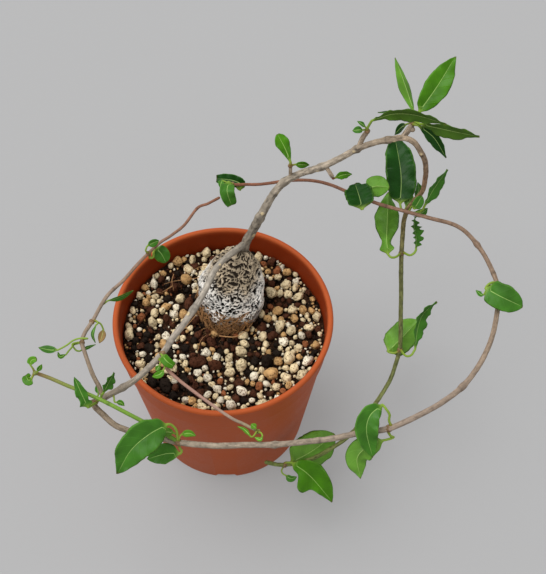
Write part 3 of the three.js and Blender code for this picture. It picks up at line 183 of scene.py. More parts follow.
# Groups of leaves: the stem they grow on, the knot they meet in as (middle, radius), and the leaves.
LEAVES = {
    "leaves_top": {"on": "stem_arching", "knot": ((83.5, 44.2, 182.8), 2.4), "leaves": [
        leaf("lance", "fresh", 6.5, 212, 12, [(83, 44.5, 184), (83, 45.5, 186)], [(83.5, 46, 187.5),
             (79.5, 57, 193), (75.5, 68, 198)]),
        leaf("oval", "fresh", 11, 0, 14, [(83.5, 44.5, 184), (85, 45, 186)], [(85.5, 46, 187.5),
             (93.5, 55.5, 194), (101.5, 68, 199)], wave=(0.6, 3)),
        leaf("lance", "dark", 4, 65, 20, [(81.5, 45, 183.5)], [(80, 45.5, 184.5), (74, 46, 187),
             (68, 46.5, 187)]),
        leaf("lance", "olive", 7.5, 45, 18, [(84, 44, 184)], [(86, 41.5, 185.5), (99.5, 38.5, 184.5),
             (112, 38.5, 181)], wave=(0.5, 3)),
        leaf("lance", "dark", 6, 35, 20, [(83.5, 43, 183.5)], [(85.5, 42, 184), (92.5, 38.5, 180),
             (98.5, 34, 172)], wave=(0.4, 3)),
        leaf("oval", "dark", 3.5, 20, 15, [(82, 45.5, 181)], [(81, 46, 180), (79, 48, 175),
             (77, 48.5, 170)]),
    ]},
    "leaves_arch_spur": {"on": "stem_arching", "knot": ((64, 43.5, 178.3), 2.2), "leaves": [
        leaf("lance", "olive", 7.5, 52, 18, [(64, 43.5, 180), (64.5, 43.5, 182)], [(65.5, 43.5, 185),
             (73.5, 42, 191), (83, 38.5, 194.5), (96.5, 37.5, 190)], wave=(0.5, 4)),
        leaf("oval", "mid", 3.5, 10, 20, [(63.5, 43.5, 179)], [(62, 43, 179.5), (60, 42.5, 180),
             (57.5, 43, 179)]),
        leaf("oval", "mid", 2.5, 30, 15, [(63.5, 43.5, 180)], [(63, 43.5, 181), (61, 44, 182.5),
             (59.5, 45, 183)]),
    ]},
    "leaves_mid_spur": {"on": "stem_arching", "knot": ((31, 40.5, 157.7), 1.9), "leaves": [
        leaf("obovate", "fresh", 6.5, 5, 12, [(31, 40.5, 158.5)], [(31, 41, 159.5), (28.5, 46, 163),
             (25, 51, 167)], wave=(0.3, 3)),
        leaf("oval", "fresh", 3.5, 30, 18, [(31.5, 40.5, 158)], [(33, 41, 158), (35.5, 41, 158),
             (39.5, 42, 156.5)]),
    ]},
    "leaf_under_spur": {"on": "stem_arching", "leaves": [
        leaf("oval", "fresh", 4, 25, 15, [(50, 35.5, 155)], [(51, 36, 155), (54.5, 36.5, 156.5),
             (58.5, 37, 156.5)], wave=(0.3, 3)),
    ]},
    "leaves_hang_upper": {"on": "stem_arching", "knot": ((86, 37.4, 128.8), 2.5), "leaves": [
        leaf("round", "dark", 15, 0, 16, [(84.5, 36.5, 130), (83, 37, 131)], [(82.5, 39, 132),
             (83, 52, 138), (80.5, 69.5, 144)], wave=(0.9, 4)),
        leaf("lance", "mid", 7.5, 40, 20, [(86, 36.5, 130), (89.5, 34.5, 131), (92.5, 35.5, 132)],
             [(93.5, 37, 133), (97.5, 43.5, 137), (104, 51, 143)], wave=(0.5, 3)),
        leaf("round", "mid", 5, 10, 15, [(86.8, 35.8, 131.8), (87.6, 35.8, 134.6)], [(88, 32.5, 137),
             (89.5, 34, 139), (91.5, 37, 141)], start=(86, 36.3, 129.5)),
        leaf("round", "light", 4.5, 195, 15, [(85, 37.5, 129)], [(85.5, 39, 130), (87, 41.5, 132),
             (87.5, 44.5, 134)]),
        leaf("oval", "mid", 4.5, 20, 15, [(86.5, 37, 127.5)], [(89.5, 38, 127), (93, 38.5, 126),
             (96, 40.5, 127)]),
        leaf("oval", "mid", 4, 20, 15, [(87, 40, 127), (89.5, 43.5, 127)], [(90.5, 46, 127.5),
             (92, 49, 130), (91.5, 52, 132)]),
    ]},
    "leaves_hang_middle": {"on": "stem_arching", "knot": ((85, 28.8, 106.7), 2.5), "leaves": [
        leaf("waisted", "fresh", 12.5, 180, 18, [(84.5, 28.5, 107), (82, 25, 109), (79.5, 24, 110)],
             [(78, 25.5, 110.5), (77.5, 33, 113.5), (78, 44, 119), (78.5, 53, 123)], wave=(1.6, 3)),
        leaf("lance", "mid", 8, 48, 28, [(86, 28.5, 107.5), (88.5, 26, 109), (90.5, 26.5, 110)],
             [(91.5, 28, 110.5), (91.5, 33.5, 113), (90.5, 37.5, 116), (91, 42, 118.5)], wave=(1.2, 6)),
    ]},
    "leaves_hang_lower": {"on": "stem_arching", "knot": ((87.5, 3.8, 57.7), 2.5), "leaves": [
        leaf("round", "light", 15, 180, 12, [(87, 3, 57.5), (84.5, 2.5, 56.5)], [(81.5, 3.5, 56),
             (89.5, 11, 59), (97, 18, 63)], wave=(0.5, 3)),
        leaf("lance", "mid", 8.5, 40, 20, [(88, 3, 58.5), (90, -1, 60), (92.5, -1.5, 61.5)], [(94.5, 1, 63),
             (95.5, 9, 67), (98.5, 17, 70), (105.5, 23, 73)], wave=(0.7, 4)),
    ]},
    "leaves_hang_tip": {"on": "stem_arching", "knot": ((30, -51, 39), 2.4), "leaves": [
        leaf("round", "light", 18, 180, 14, [(30.5, -50, 38)], [(33, -48.5, 36.5), (43, -42, 35),
             (55, -33.5, 37.5)], wave=(0.7, 3)),
        leaf("oval", "fresh", 16.5, 0, 20, [(30.5, -50.5, 40.5)], [(33.5, -50.5, 40.5), (42.5, -56, 37),
             (53.5, -65.5, 28)], wave=(0.8, 3), torn=True),
        leaf("oval", "mid", 4, 20, 20, [(29.5, -51.5, 38), (28.5, -53, 37), (29, -54.5, 36.5)],
             [(30.5, -55.5, 36.5), (33, -57, 36.5), (36, -56.5, 37)]),
    ]},
    "leaves_hoop_front_right": {"on": "vine_hoop", "knot": ((74.5, -64, 106), 3), "leaves": [
        leaf("oval", "mid", 11, 0, 20, [(74.5, -62, 109.5), (74.5, -60.5, 112.5), (73, -59, 114.5)],
             [(71.5, -57, 115), (66, -61.5, 113.5), (64.5, -67.5, 109.5), (67.5, -75.5, 101)],
             wave=(0.6, 3)),
        leaf("oval", "light", 11.5, 180, 12, [(75.5, -66, 103), (77, -66, 101.5), (74.5, -67, 101.5)],
             [(72.5, -67.5, 101.5), (64.5, -70.5, 99.5), (61, -74, 96), (63, -79.5, 88)], wave=(0.5, 3)),
    ]},
    "leaf_hoop_right": {"on": "vine_hoop", "leaves": [
        leaf("round", "mid", 12, 0, 10, [(122.5, -3, 130), (120, -4.5, 131)], [(118, -7, 131.5),
             (124, -12, 132.5), (134, -15.5, 129.5)], wave=(0.3, 3)),
        leaf("lance", "mid", 3, 30, 15, [(118.5, -7.2, 129.3)], [(117.5, -9.2, 129.5), (116, -9.2, 129.5),
             (114, -7.2, 130)], start=(120.5, -4, 130.8)),
    ]},
    "leaves_hoop_back_right": {"on": "vine_hoop", "knot": ((64.5, 40, 135.6), 2.5), "leaves": [
        leaf("round", "dark", 13.5, 0, 18, [(64, 39.5, 137), (64.5, 32.5, 139)], [(64, 29.5, 140),
             (63, 34.5, 141.5), (61, 43, 142)], wave=(0.8, 5)),
        leaf("round", "light", 10, 180, 12, [(64, 41, 137)], [(66, 42.5, 138), (71, 43.5, 139.5),
             (77, 42.5, 140)], wave=(0.4, 3)),
    ]},
    "leaves_hoop_tip": {"on": "vine_hoop", "knot": ((4.2, 48.1, 134.1), 2.2), "leaves": [
        leaf("blunt", "mid", 7, 0, 10, [(4, 47, 136)], [(2.5, 47, 137.5), (2, 41.5, 138.5),
             (2.5, 39.5, 136.5), (4, 38, 131.5)], wave=(0.3, 3)),
        leaf("blunt", "dark", 6, 0, 20, [(5.5, 49.5, 131.5)], [(7.5, 48, 130), (8, 50, 132),
             (3.5, 52, 132.5), (-3.5, 54, 131)], wave=(0.5, 4)),
        leaf("oval", "mid", 3, 0, 15, [(2.5, 47.5, 136)], [(-0.5, 48.5, 136.5), (-1, 46.5, 137),
             (-1.5, 44.5, 136.5)]),
    ]},
    "leaves_left_back": {"on": "vine_left", "knot": ((-34, 15.8, 123.4), 2.1), "leaves": [
        leaf("oval", "mid", 4, 20, 20, [(-34, 15.5, 124.5), (-35, 15.5, 126), (-34.5, 16.5, 127.5)],
             [(-34, 17, 128), (-32, 18, 128.5), (-29, 20, 128)]),
        leaf("round", "mid", 7.5, 0, 14, [(-33.5, 16.5, 122), (-33.5, 15, 121), (-32, 16, 120.5),
             (-32, 18.5, 120.5)], [(-31.5, 21.5, 120), (-28.5, 19, 118.5), (-26.5, 16.5, 115)],
             wave=(0.3, 3)),
    ]},
    "leaf_left_side": {"on": "vine_left", "leaves": [
        leaf("lance", "mid", 4, 50, 25, [(-53, -10.5, 121)], [(-51, -9, 121.5), (-45.5, -7.5, 122.5),
             (-39.5, -4, 122.5)]),
    ]},
    "leaves_left_curl": {"on": "vine_left", "knot": ((-60.5, -30.5, 121), 2.3), "leaves": [
        leaf("oval", "mid", 4, 25, 20, [(-57.5, -30.5, 124.5), (-61, -30.5, 124.5), (-64, -31, 123.5),
             (-67, -33, 122.5)], [(-70.5, -35, 122), (-74.5, -34.5, 121), (-79.5, -33, 120.5)]),
        leaf("lance", "fresh", 2, 0, 20, [(-62, -28.5, 118), (-65, -30, 119), (-65, -31.5, 119),
             (-66.5, -33.5, 118.5)], [(-67.5, -35, 118), (-70, -36, 118), (-71, -34.5, 119.5)]),
        leaf("lance", "mid", 2, 30, 20, [(-62, -29, 118), (-65, -30, 117.5), (-63.5, -32, 116.5)],
             [(-62, -32, 116), (-59, -30.5, 116.5), (-55, -29.5, 117.5)]),
    ]},
    "leaves_left_side_curl": {"on": "vine_left", "knot": ((-57, -20.5, 122), 2.2), "leaves": [
        leaf("lance", "mid", 2.5, 40, 20, [(-55.5, -20, 122.5), (-54, -21.5, 123)], [(-55, -22.5, 122.5),
             (-56, -26.5, 121), (-55, -29.5, 119)]),
        leaf("oval", "dried", 3.5, 0, 10, [(-54.5, -20.5, 122), (-53, -21, 121)], [(-52, -22.5, 119),
             (-52.5, -25.5, 118), (-53.5, -28.5, 117)]),
    ]},
    "leaves_green_shoot_base": {"on": "vine_hoop", "knot": ((-54.9, -53.4, 107.4), 2.8), "leaves": [
        leaf("fiddle", "mid", 7, 0, 20, [(-53.5, -54.5, 110), (-54.5, -56.5, 112)], [(-56, -59, 114),
             (-58.5, -55.5, 121), (-61.5, -50, 125)], wave=(0.6, 3)),
        leaf("lance", "mid", 6, 45, 22, [(-51.5, -53.5, 111.5), (-51, -52.5, 113)], [(-50, -52.5, 115),
             (-47.5, -49.5, 119), (-45, -46, 122)], wave=(0.7, 3), start=(-54, -54, 109.5)),
        leaf("oval", "mid", 2.5, 0, 12, [(-54, -51, 106.5)], [(-53.5, -48, 106), (-54, -46, 107),
             (-54.5, -44.5, 108)]),
    ]},
    "leaf_bud_low": {"on": "stem_low", "leaves": [
        leaf("oval", "fresh", 2.5, 0, 12, [(-46, -51.5, 109.5), (-45.5, -54, 110)], [(-44.5, -54.5, 110.5),
             (-42.5, -55, 111), (-41, -56, 110)]),
    ]},
    "leaves_green_shoot_tip": {"on": "shoot_green", "knot": ((-79.6, -45.2, 119.5), 2), "leaves": [
        leaf("blunt", "fresh", 5, 0, 18, [(-80.5, -46.5, 119.5)], [(-81, -47.5, 119), (-82.5, -48, 118),
             (-84, -45.5, 118)]),
        leaf("blunt", "light", 3.5, 0, 20, [(-80.5, -44, 121)], [(-81.5, -43, 122.5), (-81, -41.5, 124),
             (-78.5, -41.5, 125.5)]),
        leaf("oval", "fresh", 2.5, 30, 20, [(-78.5, -46, 121)], [(-78, -46, 122.5), (-77, -45, 124),
             (-76, -44, 125)]),
    ]},
    "leaves_hoop_front": {"on": "vine_hoop", "knot": ((-17.5, -68.5, 100), 3.1), "leaves": [
        leaf("oval", "mid", 15, 0, 16, [(-17.5, -68, 102.5), (-18, -66, 107), (-20, -65, 110)],
             [(-21.5, -65.5, 111.5), (-29, -71.5, 113.5), (-36.5, -77.5, 110.5), (-42.5, -85, 103)],
             wave=(0.7, 3)),
        leaf("oval", "mid", 10, 15, 25, [(-17, -70, 98), (-16, -71, 96.5)], [(-16.5, -72, 96),
             (-23, -71.5, 94.5), (-31.5, -72.5, 91)], wave=(0.4, 3)),
        leaf("oval", "light", 3.5, 10, 15, [(-17, -68, 102.5)], [(-16, -67, 104.5), (-12.5, -66.5, 105),
             (-9.5, -67.5, 104.5)]),
        leaf("oval", "fresh", 4, 180, 12, [(-18, -66.5, 102.5)], [(-19, -66.5, 105), (-22.5, -67, 107),
             (-25, -69, 106)]),
    ]},
    "leaves_low": {"on": "stem_low", "knot": ((-25.2, -33, 116), 3.1), "leaves": [
        leaf("blunt", "fresh", 4.5, 0, 15, [(-25.5, -35, 119)], [(-25, -36, 120), (-22.5, -39.5, 120.5),
             (-19.5, -41, 119)]),
        leaf("oval", "fresh", 3.5, 15, 18, [(-24.5, -38, 119), (-23.5, -40.5, 118.5)], [(-24, -42.5, 118.5),
             (-25.5, -44.5, 118), (-29, -45, 116.5)]),
        leaf("oval", "fresh", 2.5, 0, 12, [(-25.5, -38, 118)], [(-26, -40, 118), (-26.5, -41, 117.5),
             (-27.5, -42.5, 117)]),
    ]},
    "leaves_fine_tip": {"on": "shoot_fine", "knot": ((17.5, -63.5, 101), 1.8), "leaves": [
        leaf("lance", "light", 2, 20, 18, [(17, -64, 102.5), (15.5, -67, 103.5)], [(14.5, -67.5, 104),
             (11.5, -65, 106), (8.5, -64, 107)]),
        leaf("oval", "light", 3, 0, 12, [(16.5, -63.5, 103.5)], [(16.5, -63.5, 104.5), (15.5, -63, 105.5),
             (14.5, -62.5, 106.5)]),
        leaf("lance", "light", 2, 0, 12, [(18, -64.5, 102.5), (19, -65.5, 103.5)], [(19.5, -67, 104),
             (18.5, -68.5, 103.5), (16, -67.5, 103.5)]),
    ]},
}

# Grains that stand out, by kind: (x, y, radius). More are thrown between them, and the odds of each kind are
# (share in grit, share to add where the soil is brown).
GRAIN_COLOURS = {"pale": (240, 229, 204), "cream": (229, 209, 168), "tan": (198, 158, 106),
                 "rust": (150, 92, 58), "brown": (78, 46, 31), "dark": (36, 28, 22)}
GRAIN_ODDS = {"pale": (0.2, -0.2), "cream": (0.35, -0.34), "tan": (0.19, -0.14), "rust": (0.03, 0.05),
              "brown": (0.13, 0.33), "dark": (0.1, 0.3)}
PLACED_GRAINS = {
    "pale": [(28, 36.5, 1.5), (35, 28, 2.2), (29, -7, 2.3), (-8, -13.5, 2.4), (-3, -15.5, 2.1),
             (-6.5, -27, 2.4), (15, -25.5, 2.6), (9.5, -34, 2.8), (-2, -33, 2.3), (-11.5, -24, 2.1),
             (-35.5, 26, 2.6), (-24.5, 8.5, 2.2), (-27.5, -4.5, 2.2), (-38, -14.5, 2), (-17, -38, 2)],
    "cream": [(-10, 44.5, 2.5), (16, 42.5, 2.5), (14.5, 37, 2.5), (26, 30, 1.9), (30, 25, 2.4),
              (36, 18.5, 2.8), (31, 20, 2.1), (27, 2, 3), (32.5, -0.5, 2.4), (41, 1.5, 2.4), (19, -4, 2.4),
              (36, -10, 2.1), (31.5, -16, 3.3), (8.5, -12.5, 2.9), (3, -16, 2.5), (3.5, -24, 3.1),
              (30, -26.5, 2.7), (10, -8.5, 2.1), (25.5, -31, 2.1), (-17, 41, 2.3), (-19, 35.5, 2.4),
              (-42, 19, 2.1), (-34.5, 19, 1.8), (-34, 9, 2.3), (-30.5, 10.5, 2), (-39, -20, 2.4),
              (-17.5, -19.5, 2), (10.5, -42.5, 2.1), (-1.5, 44, 2.1)],
    "tan": [(21, 33.5, 1.9), (30.5, 33, 2), (43, 17.5, 1.7), (42.5, 11, 1.9), (38.5, 11.5, 2.3), (34, 6, 2.2),
            (21, 6.5, 2), (44, -8, 2.1), (23, -24.5, 3.3), (-24, 39, 2.2), (-39.5, 24, 1.8), (-38.5, 15, 2.1),
            (-28.5, 12.5, 2.3), (-19.5, 8.5, 2.6)],
    "rust": [(25.5, 34, 2.2), (17.5, -31, 2.1), (-40.5, 7, 2.3)],
    "brown": [(-4, -20.5, 3.1), (-36.5, 11, 2.2), (8, -30, 2.6), (-10.5, -35, 2.3)],
}
# Patches of peat without pale grains: (x, y, radius).
PEAT_PATCHES = [
    (28, 14, 3.4), (24, -13, 3.3), (15, -16, 2.8), (-27, 31, 4), (-29, 26, 4.5), (-21, 22, 3.9),
    (-18, 15, 3.4), (-37, -6, 4.3), (-42, -9, 2.9), (-14, -16, 2.8), (-15, -29, 2.3), (-28, -33, 3.7),
    (-19, -33, 2.8), (-9, -34, 2.2), (-2, -29, 1.9), (-6, -5, 6.2), (-16, -7, 4.8), (3, -8, 4.5),
    (-31, -2, 2.9), (21, 16, 2.9), (20, 25, 2.5), (-12, 1, 3.9), (9, -38, 2.4), (37, -31, 2.3), (21, -1, 2.4),
]
# Long roots on the soil: points of each, and its thickness.
LONG_ROOTS = [
    ([(-8, 25, 92), (-16, 25.5, 88), (-25, 25, 86.5), (-30, 23.5, 86)], 0.26),
    ([(-6, 33, 90), (-13, 32.5, 88), (-19, 29.5, 86)], 0.2),
    ([(-25, 23, 86), (-30.5, 18.5, 86.5)], 0.42),
    ([(-39, 17.5, 85.5), (-33, 18.5, 86.5), (-29.5, 18, 85.5)], 0.18),
    ([(-25.5, 29.5, 86), (-26, 24, 88), (-25, 20, 85.5)], 0.22),
    ([(-20, 33, 86), (-19.5, 30, 88.5), (-20, 27, 86)], 0.22),
    ([(13, 30, 91), (17.5, 26, 88), (20, 21, 85)], 0.22),
    ([(14, 27.5, 91), (18.5, 22.5, 87), (19, 19, 85)], 0.18),
    ([(-2, -5.5, 85.5), (6, -6.5, 86.5), (11, -3, 87), (14, 1, 87)], 0.34),
    ([(-12, -14, 85.5), (-10.5, -9, 87), (-8, -5, 86)], 0.2),
    ([(-13, 5, 88), (-17, 0, 87), (-20.5, -4, 85.5)], 0.24),
    ([(-14, 8, 89), (-20, 4.5, 87), (-25, 1, 85.5)], 0.2),
]

# The stage: the floor in millimetres, the camera's place in metres and its angles in radians.
FLOOR_RADIUS, FLOOR_THICKNESS = 4000, 8.0
SURROUND_LIGHT, SURROUND_SEEN = 0.7, 0.5
CAMERA_TILT, CAMERA_ROLL, CAMERA_PLACE = np.radians(56.856), 0.0078, (0.02357, -0.29249, 0.56816)
SENSOR_WIDTH, LENS = 36, 73.58

# Curves, noise and grids

CURVE_SAMPLES = 32
NO_QUADS = np.zeros((0, 4), int)


def smooth_path(points, steps):
    """A uniform Catmull-Rom curve through the points, resampled at steps + 1 places of even arc length.
    Between points b and c with neighbours a and d it is half of
    2b + (c − a)u + (2a − 5b + 4c − d)u² + (3b − a − 3c + d)u³. Returns places, unit tangents, the shares of
    the length and the length."""
    p = np.asarray(points, float)
    p = np.vstack([2 * p[0] - p[1], p, 2 * p[-1] - p[-2]])
    k = np.arange(len(p) - 3)
    a, b, c, d = (p[k + j][:, None] for j in range(4))
    u = np.linspace(0, 1, CURVE_SAMPLES, endpoint=False)[None, :, None]
    curve = 0.5 * (2 * b + (c - a) * u + (2 * a - 5 * b + 4 * c - d) * u**2 + (3 * b - a - 3 * c + d) * u**3)
    curve = np.vstack([curve.reshape(-1, 3), p[-2]])
    run = np.r_[0, np.cumsum(np.linalg.norm(np.diff(curve, axis=0), axis=1))]
    share = np.linspace(0, 1, steps + 1)
    place = np.stack([np.interp(share * run[-1], run, curve[:, i]) for i in range(3)], axis=1)
    return place, unit(np.gradient(place, axis=0)), share, run[-1]


def paced_path(points, pace, fewest, most=5000):
    """The smooth path with a step about every pace millimetres, and from fewest to most steps."""
    length = smooth_path(points, fewest)[3]
    return smooth_path(points, int(np.clip(length / pace, fewest, most)))


def unit(v):
    """Vectors divided by their lengths."""
    return v / np.maximum(np.linalg.norm(v, axis=-1, keepdims=True), 1e-9)


def along(table, t):
    """Straight interpolation in a table of (place, value, ...) rows."""
    table = np.array([np.hstack(row) for row in table], float)
    values = [np.interp(t, table[:, 0], table[:, i]) for i in range(1, table.shape[1])]
    return values[0] if len(values) == 1 else np.stack(values, axis=-1)


def outline_at(table, t):
    """A table of (place, value) rows read at t along a smooth curve through them."""
    curve = smooth_path([(x, y, 0) for x, y in table], 400)[0]
    return np.interp(t, curve[:, 0], curve[:, 1])


def step(x, low, high):
    """0 below low, 1 above high, and 3u² − 2u³ between them."""
    u = np.clip((x - low) / (high - low), 0, 1)
    return u * u * (3 - 2 * u)


def bell(x, width):
    """A bell curve, exp(−(x / width)²): 1 at x = 0."""
    return np.exp(-((x / width) ** 2))


def blend(a, b, share):
    """a where the share is 0, b where it is 1."""
    return a + (b - a) * share


def circle(columns):
    """Angles of evenly spaced points round a full turn."""
    return np.linspace(0, 2 * np.pi, columns, endpoint=False)


def grid(x, y, z):
    """Points from three arrays of coordinates that stretch to one shape."""
    return np.stack(np.broadcast_arrays(x, y, z), axis=-1)


def cell_hash(cell, seed):
    """A pseudo-random number from 0 to 1 for each whole-numbered cell."""
    h = cell[..., 0] * 374761393 + cell[..., 1] * 668265263 + cell[..., 2] * 1442695041 + seed * 974634777
    h = h & 0xFFFFFFFF
    h = ((h ^ (h >> 13)) * 1274126177) & 0xFFFFFFFF
    h = ((h ^ (h >> 16)) * 2246822519) & 0xFFFFFFFF
    return ((h ^ (h >> 15)) & 0xFFFFF) / 0xFFFFF


def value_noise(points, seed=0):
    """Random numbers at the corners of unit cells, blended by 3f² − 2f³ along each axis: from −1 to 1."""
    cell = np.floor(points).astype(np.int64)
    f = points - cell
    f = f * f * (3 - 2 * f)
    total = 0
    for corner in np.ndindex(2, 2, 2):
        weight = np.prod(np.where(np.array(corner, bool), f, 1 - f), axis=-1)
        total = total + weight * cell_hash(cell + corner, seed)
    return 2 * total - 1


def fractal(points, octaves, seed):
    """Value noise summed over octaves: each is twice as fine and half as strong as the last."""
    return sum(value_noise(points * 2**k + 17.3 * k, seed + k) / 2**k for k in range(octaves))


def frames(tangent, reference):
    """Two unit vectors square to each tangent: the reference made square to it, and tangent × that."""
    up = unit(reference - np.sum(reference * tangent, axis=-1, keepdims=True) * tangent)
    return up, np.cross(tangent, up)


def linear(colour):
    """sRGB from 0 to 255 as linear light."""
    c = np.asarray(colour, float) / 255
    return np.where(c <= 0.04045, c / 12.92, ((c + 0.055) / 1.055) ** 2.4)


class Surfaces:
    """Collects grids and their per-point attributes, and makes one mesh object of them."""

    def __init__(self):
        self.points, self.quads, self.triangles, self.extra, self.count = [], [], [], {}, 0

    def add(self, points, quads, triangles, **extra):
        """Adds points, faces that count from the first of them, and a number or colour per point."""
        n = points.size // 3
        self.points.append(points.reshape(n, 3))
        self.quads.append(quads + self.count)
        self.triangles.append(triangles + self.count)
        for name, value in extra.items():
            self.extra.setdefault(name, []).append(value.reshape(n, -1))
        self.count += n

    def tube(self, rings, **extra):
        """Adds rings of points as a tube, with each open end closed by a fan to its middle point. Rings that
        follow each other run counter-clockwise seen from the far end."""
        rows, columns = rings.shape[:2]
        r, c = np.meshgrid(np.arange(rows - 1) * columns, np.arange(columns), indexing="ij")
        n = (c + 1) % columns
        quads = np.stack([r + c, r + n, r + columns + n, r + columns + c], axis=-1).reshape(-1, 4)
        j = np.arange(columns)
        n = (j + 1) % columns
        last = (rows - 1) * columns
        start, end = (np.full(columns, rows * columns + k) for k in (0, 1))
        fans = np.vstack([np.stack([start, n, j], axis=-1), np.stack([end, last + j, last + n], axis=-1)])
        points = np.vstack([rings.reshape(-1, 3), rings[0].mean(axis=0), rings[-1].mean(axis=0)])
        for name, value in extra.items():
            value = np.broadcast_to(value, (rows, columns) + value.shape[2:]).reshape(rows * columns, -1)
            extra[name] = np.vstack([value, value[:1], value[last:last + 1]])
        self.add(points, quads, fans, **extra)

    def piece(self, name, material, node, slot):
        """Makes the object, ties it to the one body and hides the imported part of the node it stands for, if
        any.
        The slot is not used.
        """
        piece = self.loose(name)
        piece.data.materials.append(material)
        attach(piece, "root")
        if node:
            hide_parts(node)
        return piece

    def loose(self, name):
        """Makes the mesh in metres, with its object at the origin and in the scene."""
        mesh = bpy.data.meshes.new(name)
        points = np.vstack(self.points) * MM
        quads, triangles = np.vstack(self.quads), np.vstack(self.triangles)
        loops = np.r_[quads.ravel(), triangles.ravel()].astype(np.int32)
        sizes = np.r_[np.full(len(quads), 4), np.full(len(triangles), 3)].astype(np.int32)
        mesh.vertices.add(len(points))
        mesh.vertices.foreach_set("co", points.astype(np.float32).ravel())
        mesh.loops.add(len(loops))
        mesh.loops.foreach_set("vertex_index", loops)
        mesh.polygons.add(len(sizes))
        mesh.polygons.foreach_set("loop_start", np.r_[0, np.cumsum(sizes)[:-1]].astype(np.int32))
        mesh.polygons.foreach_set("loop_total", sizes)
        mesh.polygons.foreach_set("use_smooth", np.full(len(sizes), True))
        for key, parts in self.extra.items():
            value = np.concatenate(parts).astype(np.float32)
            if value.shape[1] == 1:
                mesh.attributes.new(key, "FLOAT", "POINT").data.foreach_set("value", value.ravel())
            else:
                rgba = np.c_[value, np.ones(len(value), np.float32)]
                mesh.attributes.new(key, "FLOAT_COLOR", "POINT").data.foreach_set("color", rgba.ravel())
        mesh.update()
        mesh.validate()
        made = bpy.data.objects.new(name, mesh)
        bpy.context.scene.collection.objects.link(made)
        return made


# Surfaces of the pot and its soil

# The pot's section as (radius, height): the foot, up the outside, over the lip, and down the inside.
POT_PROFILE = [
    (0, 0), (9, 0), (10, 2.5), (36.6, 2.5), (37.4, 0), (40, 0), (49.4, 76.9), (50.2, 77.5), (51.2, 91.4),
    (52.2, 92.2), (52.5, 93.5), (52, 94.6), (51.1, 95), (50.1, 94.7), (49.6, 93.8), (49.3, 91.5),
    (48.6, 77.5), (47.6, 75.5), (38.6, 5.3), (37.4, 4.3), (0, 4.3),
]
# The notches in the foot: how many, the radii they reach from and to, and their section (across, height).
NOTCHES, NOTCH_REACH = 4, (34, 44)
NOTCH_SECTION = np.array([
    (5.6, -2), (5.6, 0), (4.6, 2.4), (4, 3), (-4, 3), (-4.6, 2.4), (-5.6, 0), (-5.6, -2),
])
# The drain holes: how many, the radius of their circle and of each, and the levels their pegs run between.
HOLES, HOLE_CIRCLE, HOLE_RADIUS, HOLE_LEVELS = 6, 24, 3.5, (-1.0, 8.0)
# The soil: the level its grains come up to, its radius there, the level below which the wall narrows it, and
# (radius, height) at the foot of its side and at the middle of its underside.
SOIL_TOP, SOIL_EDGE, SOIL_SHOULDER = 84, 48.7, 78.4
SOIL_SIDE, SOIL_FOOT = (38.0, 5.2), (0.4, 5.2)
# The oval round the caudex that stays free of thrown grains: its middle and its half-widths, (x, y) each.
CAUDEX_ROOM = {"middle": (3.5, 12), "halves": (14.8, 14.2)}


def rounded(profile, radius=0.6, steps=4):
    """A profile whose inner corners are cut 40% of the side, or radius, before them and bridged by the
    parabola (1 − u)²a + 2u(1 − u)b + u²c."""
    p = np.asarray(profile, float)
    out = [p[:1]]
    u = np.linspace(0, 1, steps)[:, None]
    for before, corner, after in zip(p[:-2], p[1:-1], p[2:]):
        sides = [np.linalg.norm(end - corner) for end in (before, after)]
        a, c = (corner + (end - corner) / side * min(radius, 0.4 * side)
                for end, side in zip((before, after), sides))
        out.append((1 - u) ** 2 * a + 2 * u * (1 - u) * corner + u**2 * c)
    return np.vstack(out + [p[-1:]])


def pot_surface():
    """The pot's wall, lip, collar and foot: the profile turned about the Z axis, (r cos a, r sin a, z)."""
    pot = Surfaces()
    profile = rounded(POT_PROFILE)
    r, z = profile[1:-1, 0][:, None], profile[1:-1, 1][:, None]
    a = circle(240)
    pot.tube(grid(r * np.cos(a), r * np.sin(a), z)[:, ::-1])
    return pot


def cutters():
    """Tapered blocks for the notches in the foot and round pegs for the drain holes."""
    tools = Surfaces()
    x, z = NOTCH_SECTION.T
    for k in range(NOTCHES):
        turn = (k - 1) * 2 * np.pi / NOTCHES
        tools.tube(np.array([grid(r * np.cos(turn) - x * np.sin(turn), r * np.sin(turn) + x * np.cos(turn), z)
                             for r in NOTCH_REACH]))
    a = circle(24)
    for k in range(HOLES):
        turn = (k + 0.5) * 2 * np.pi / HOLES
        x = HOLE_CIRCLE * np.cos(turn) + HOLE_RADIUS * np.cos(a)
        y = HOLE_CIRCLE * np.sin(turn) + HOLE_RADIUS * np.sin(a)
        tools.tube(np.array([grid(x, y, z) for z in HOLE_LEVELS]))
    return tools


def mounds(x, y):
    """The slow rise and fall of the soil, in cells of 14 mm."""
    return value_noise(grid(x, y, 0.0) / 14, 3)


def peat_surface():
    """A round bed of peat: rings of points, closed down its side and over its bottom. Its top is at one level
    with mounds, and with crumbs in cells of 2.6 and 1.3 mm."""
    r = np.r_[np.linspace(0.4, SOIL_EDGE, 110), SOIL_EDGE, SOIL_SIDE[0], SOIL_FOOT[0]][:, None]
    a = circle(300)
    x, y = r * np.cos(a), r * np.sin(a)
    flat = grid(x, y, 0.0)
    z = SOIL_TOP - 3.6 + mounds(x, y) + 1.1 * value_noise(flat / 2.6, 4) + 0.6 * value_noise(flat / 1.3, 5)
    z[-3], z[-2], z[-1] = SOIL_SHOULDER, SOIL_SIDE[1], SOIL_FOOT[1]
    return grid(x, y, z)[:, ::-1]


def ball(detail):
    """Unit directions and faces of an icosahedron whose faces are split in four detail − 1 times."""
    form = bmesh.new()
    bmesh.ops.create_icosphere(form, subdivisions=detail, radius=1)
    points = np.array([v.co for v in form.verts])
    faces = np.array([[v.index for v in f.verts] for f in form.faces])
    form.free()
    return points, faces


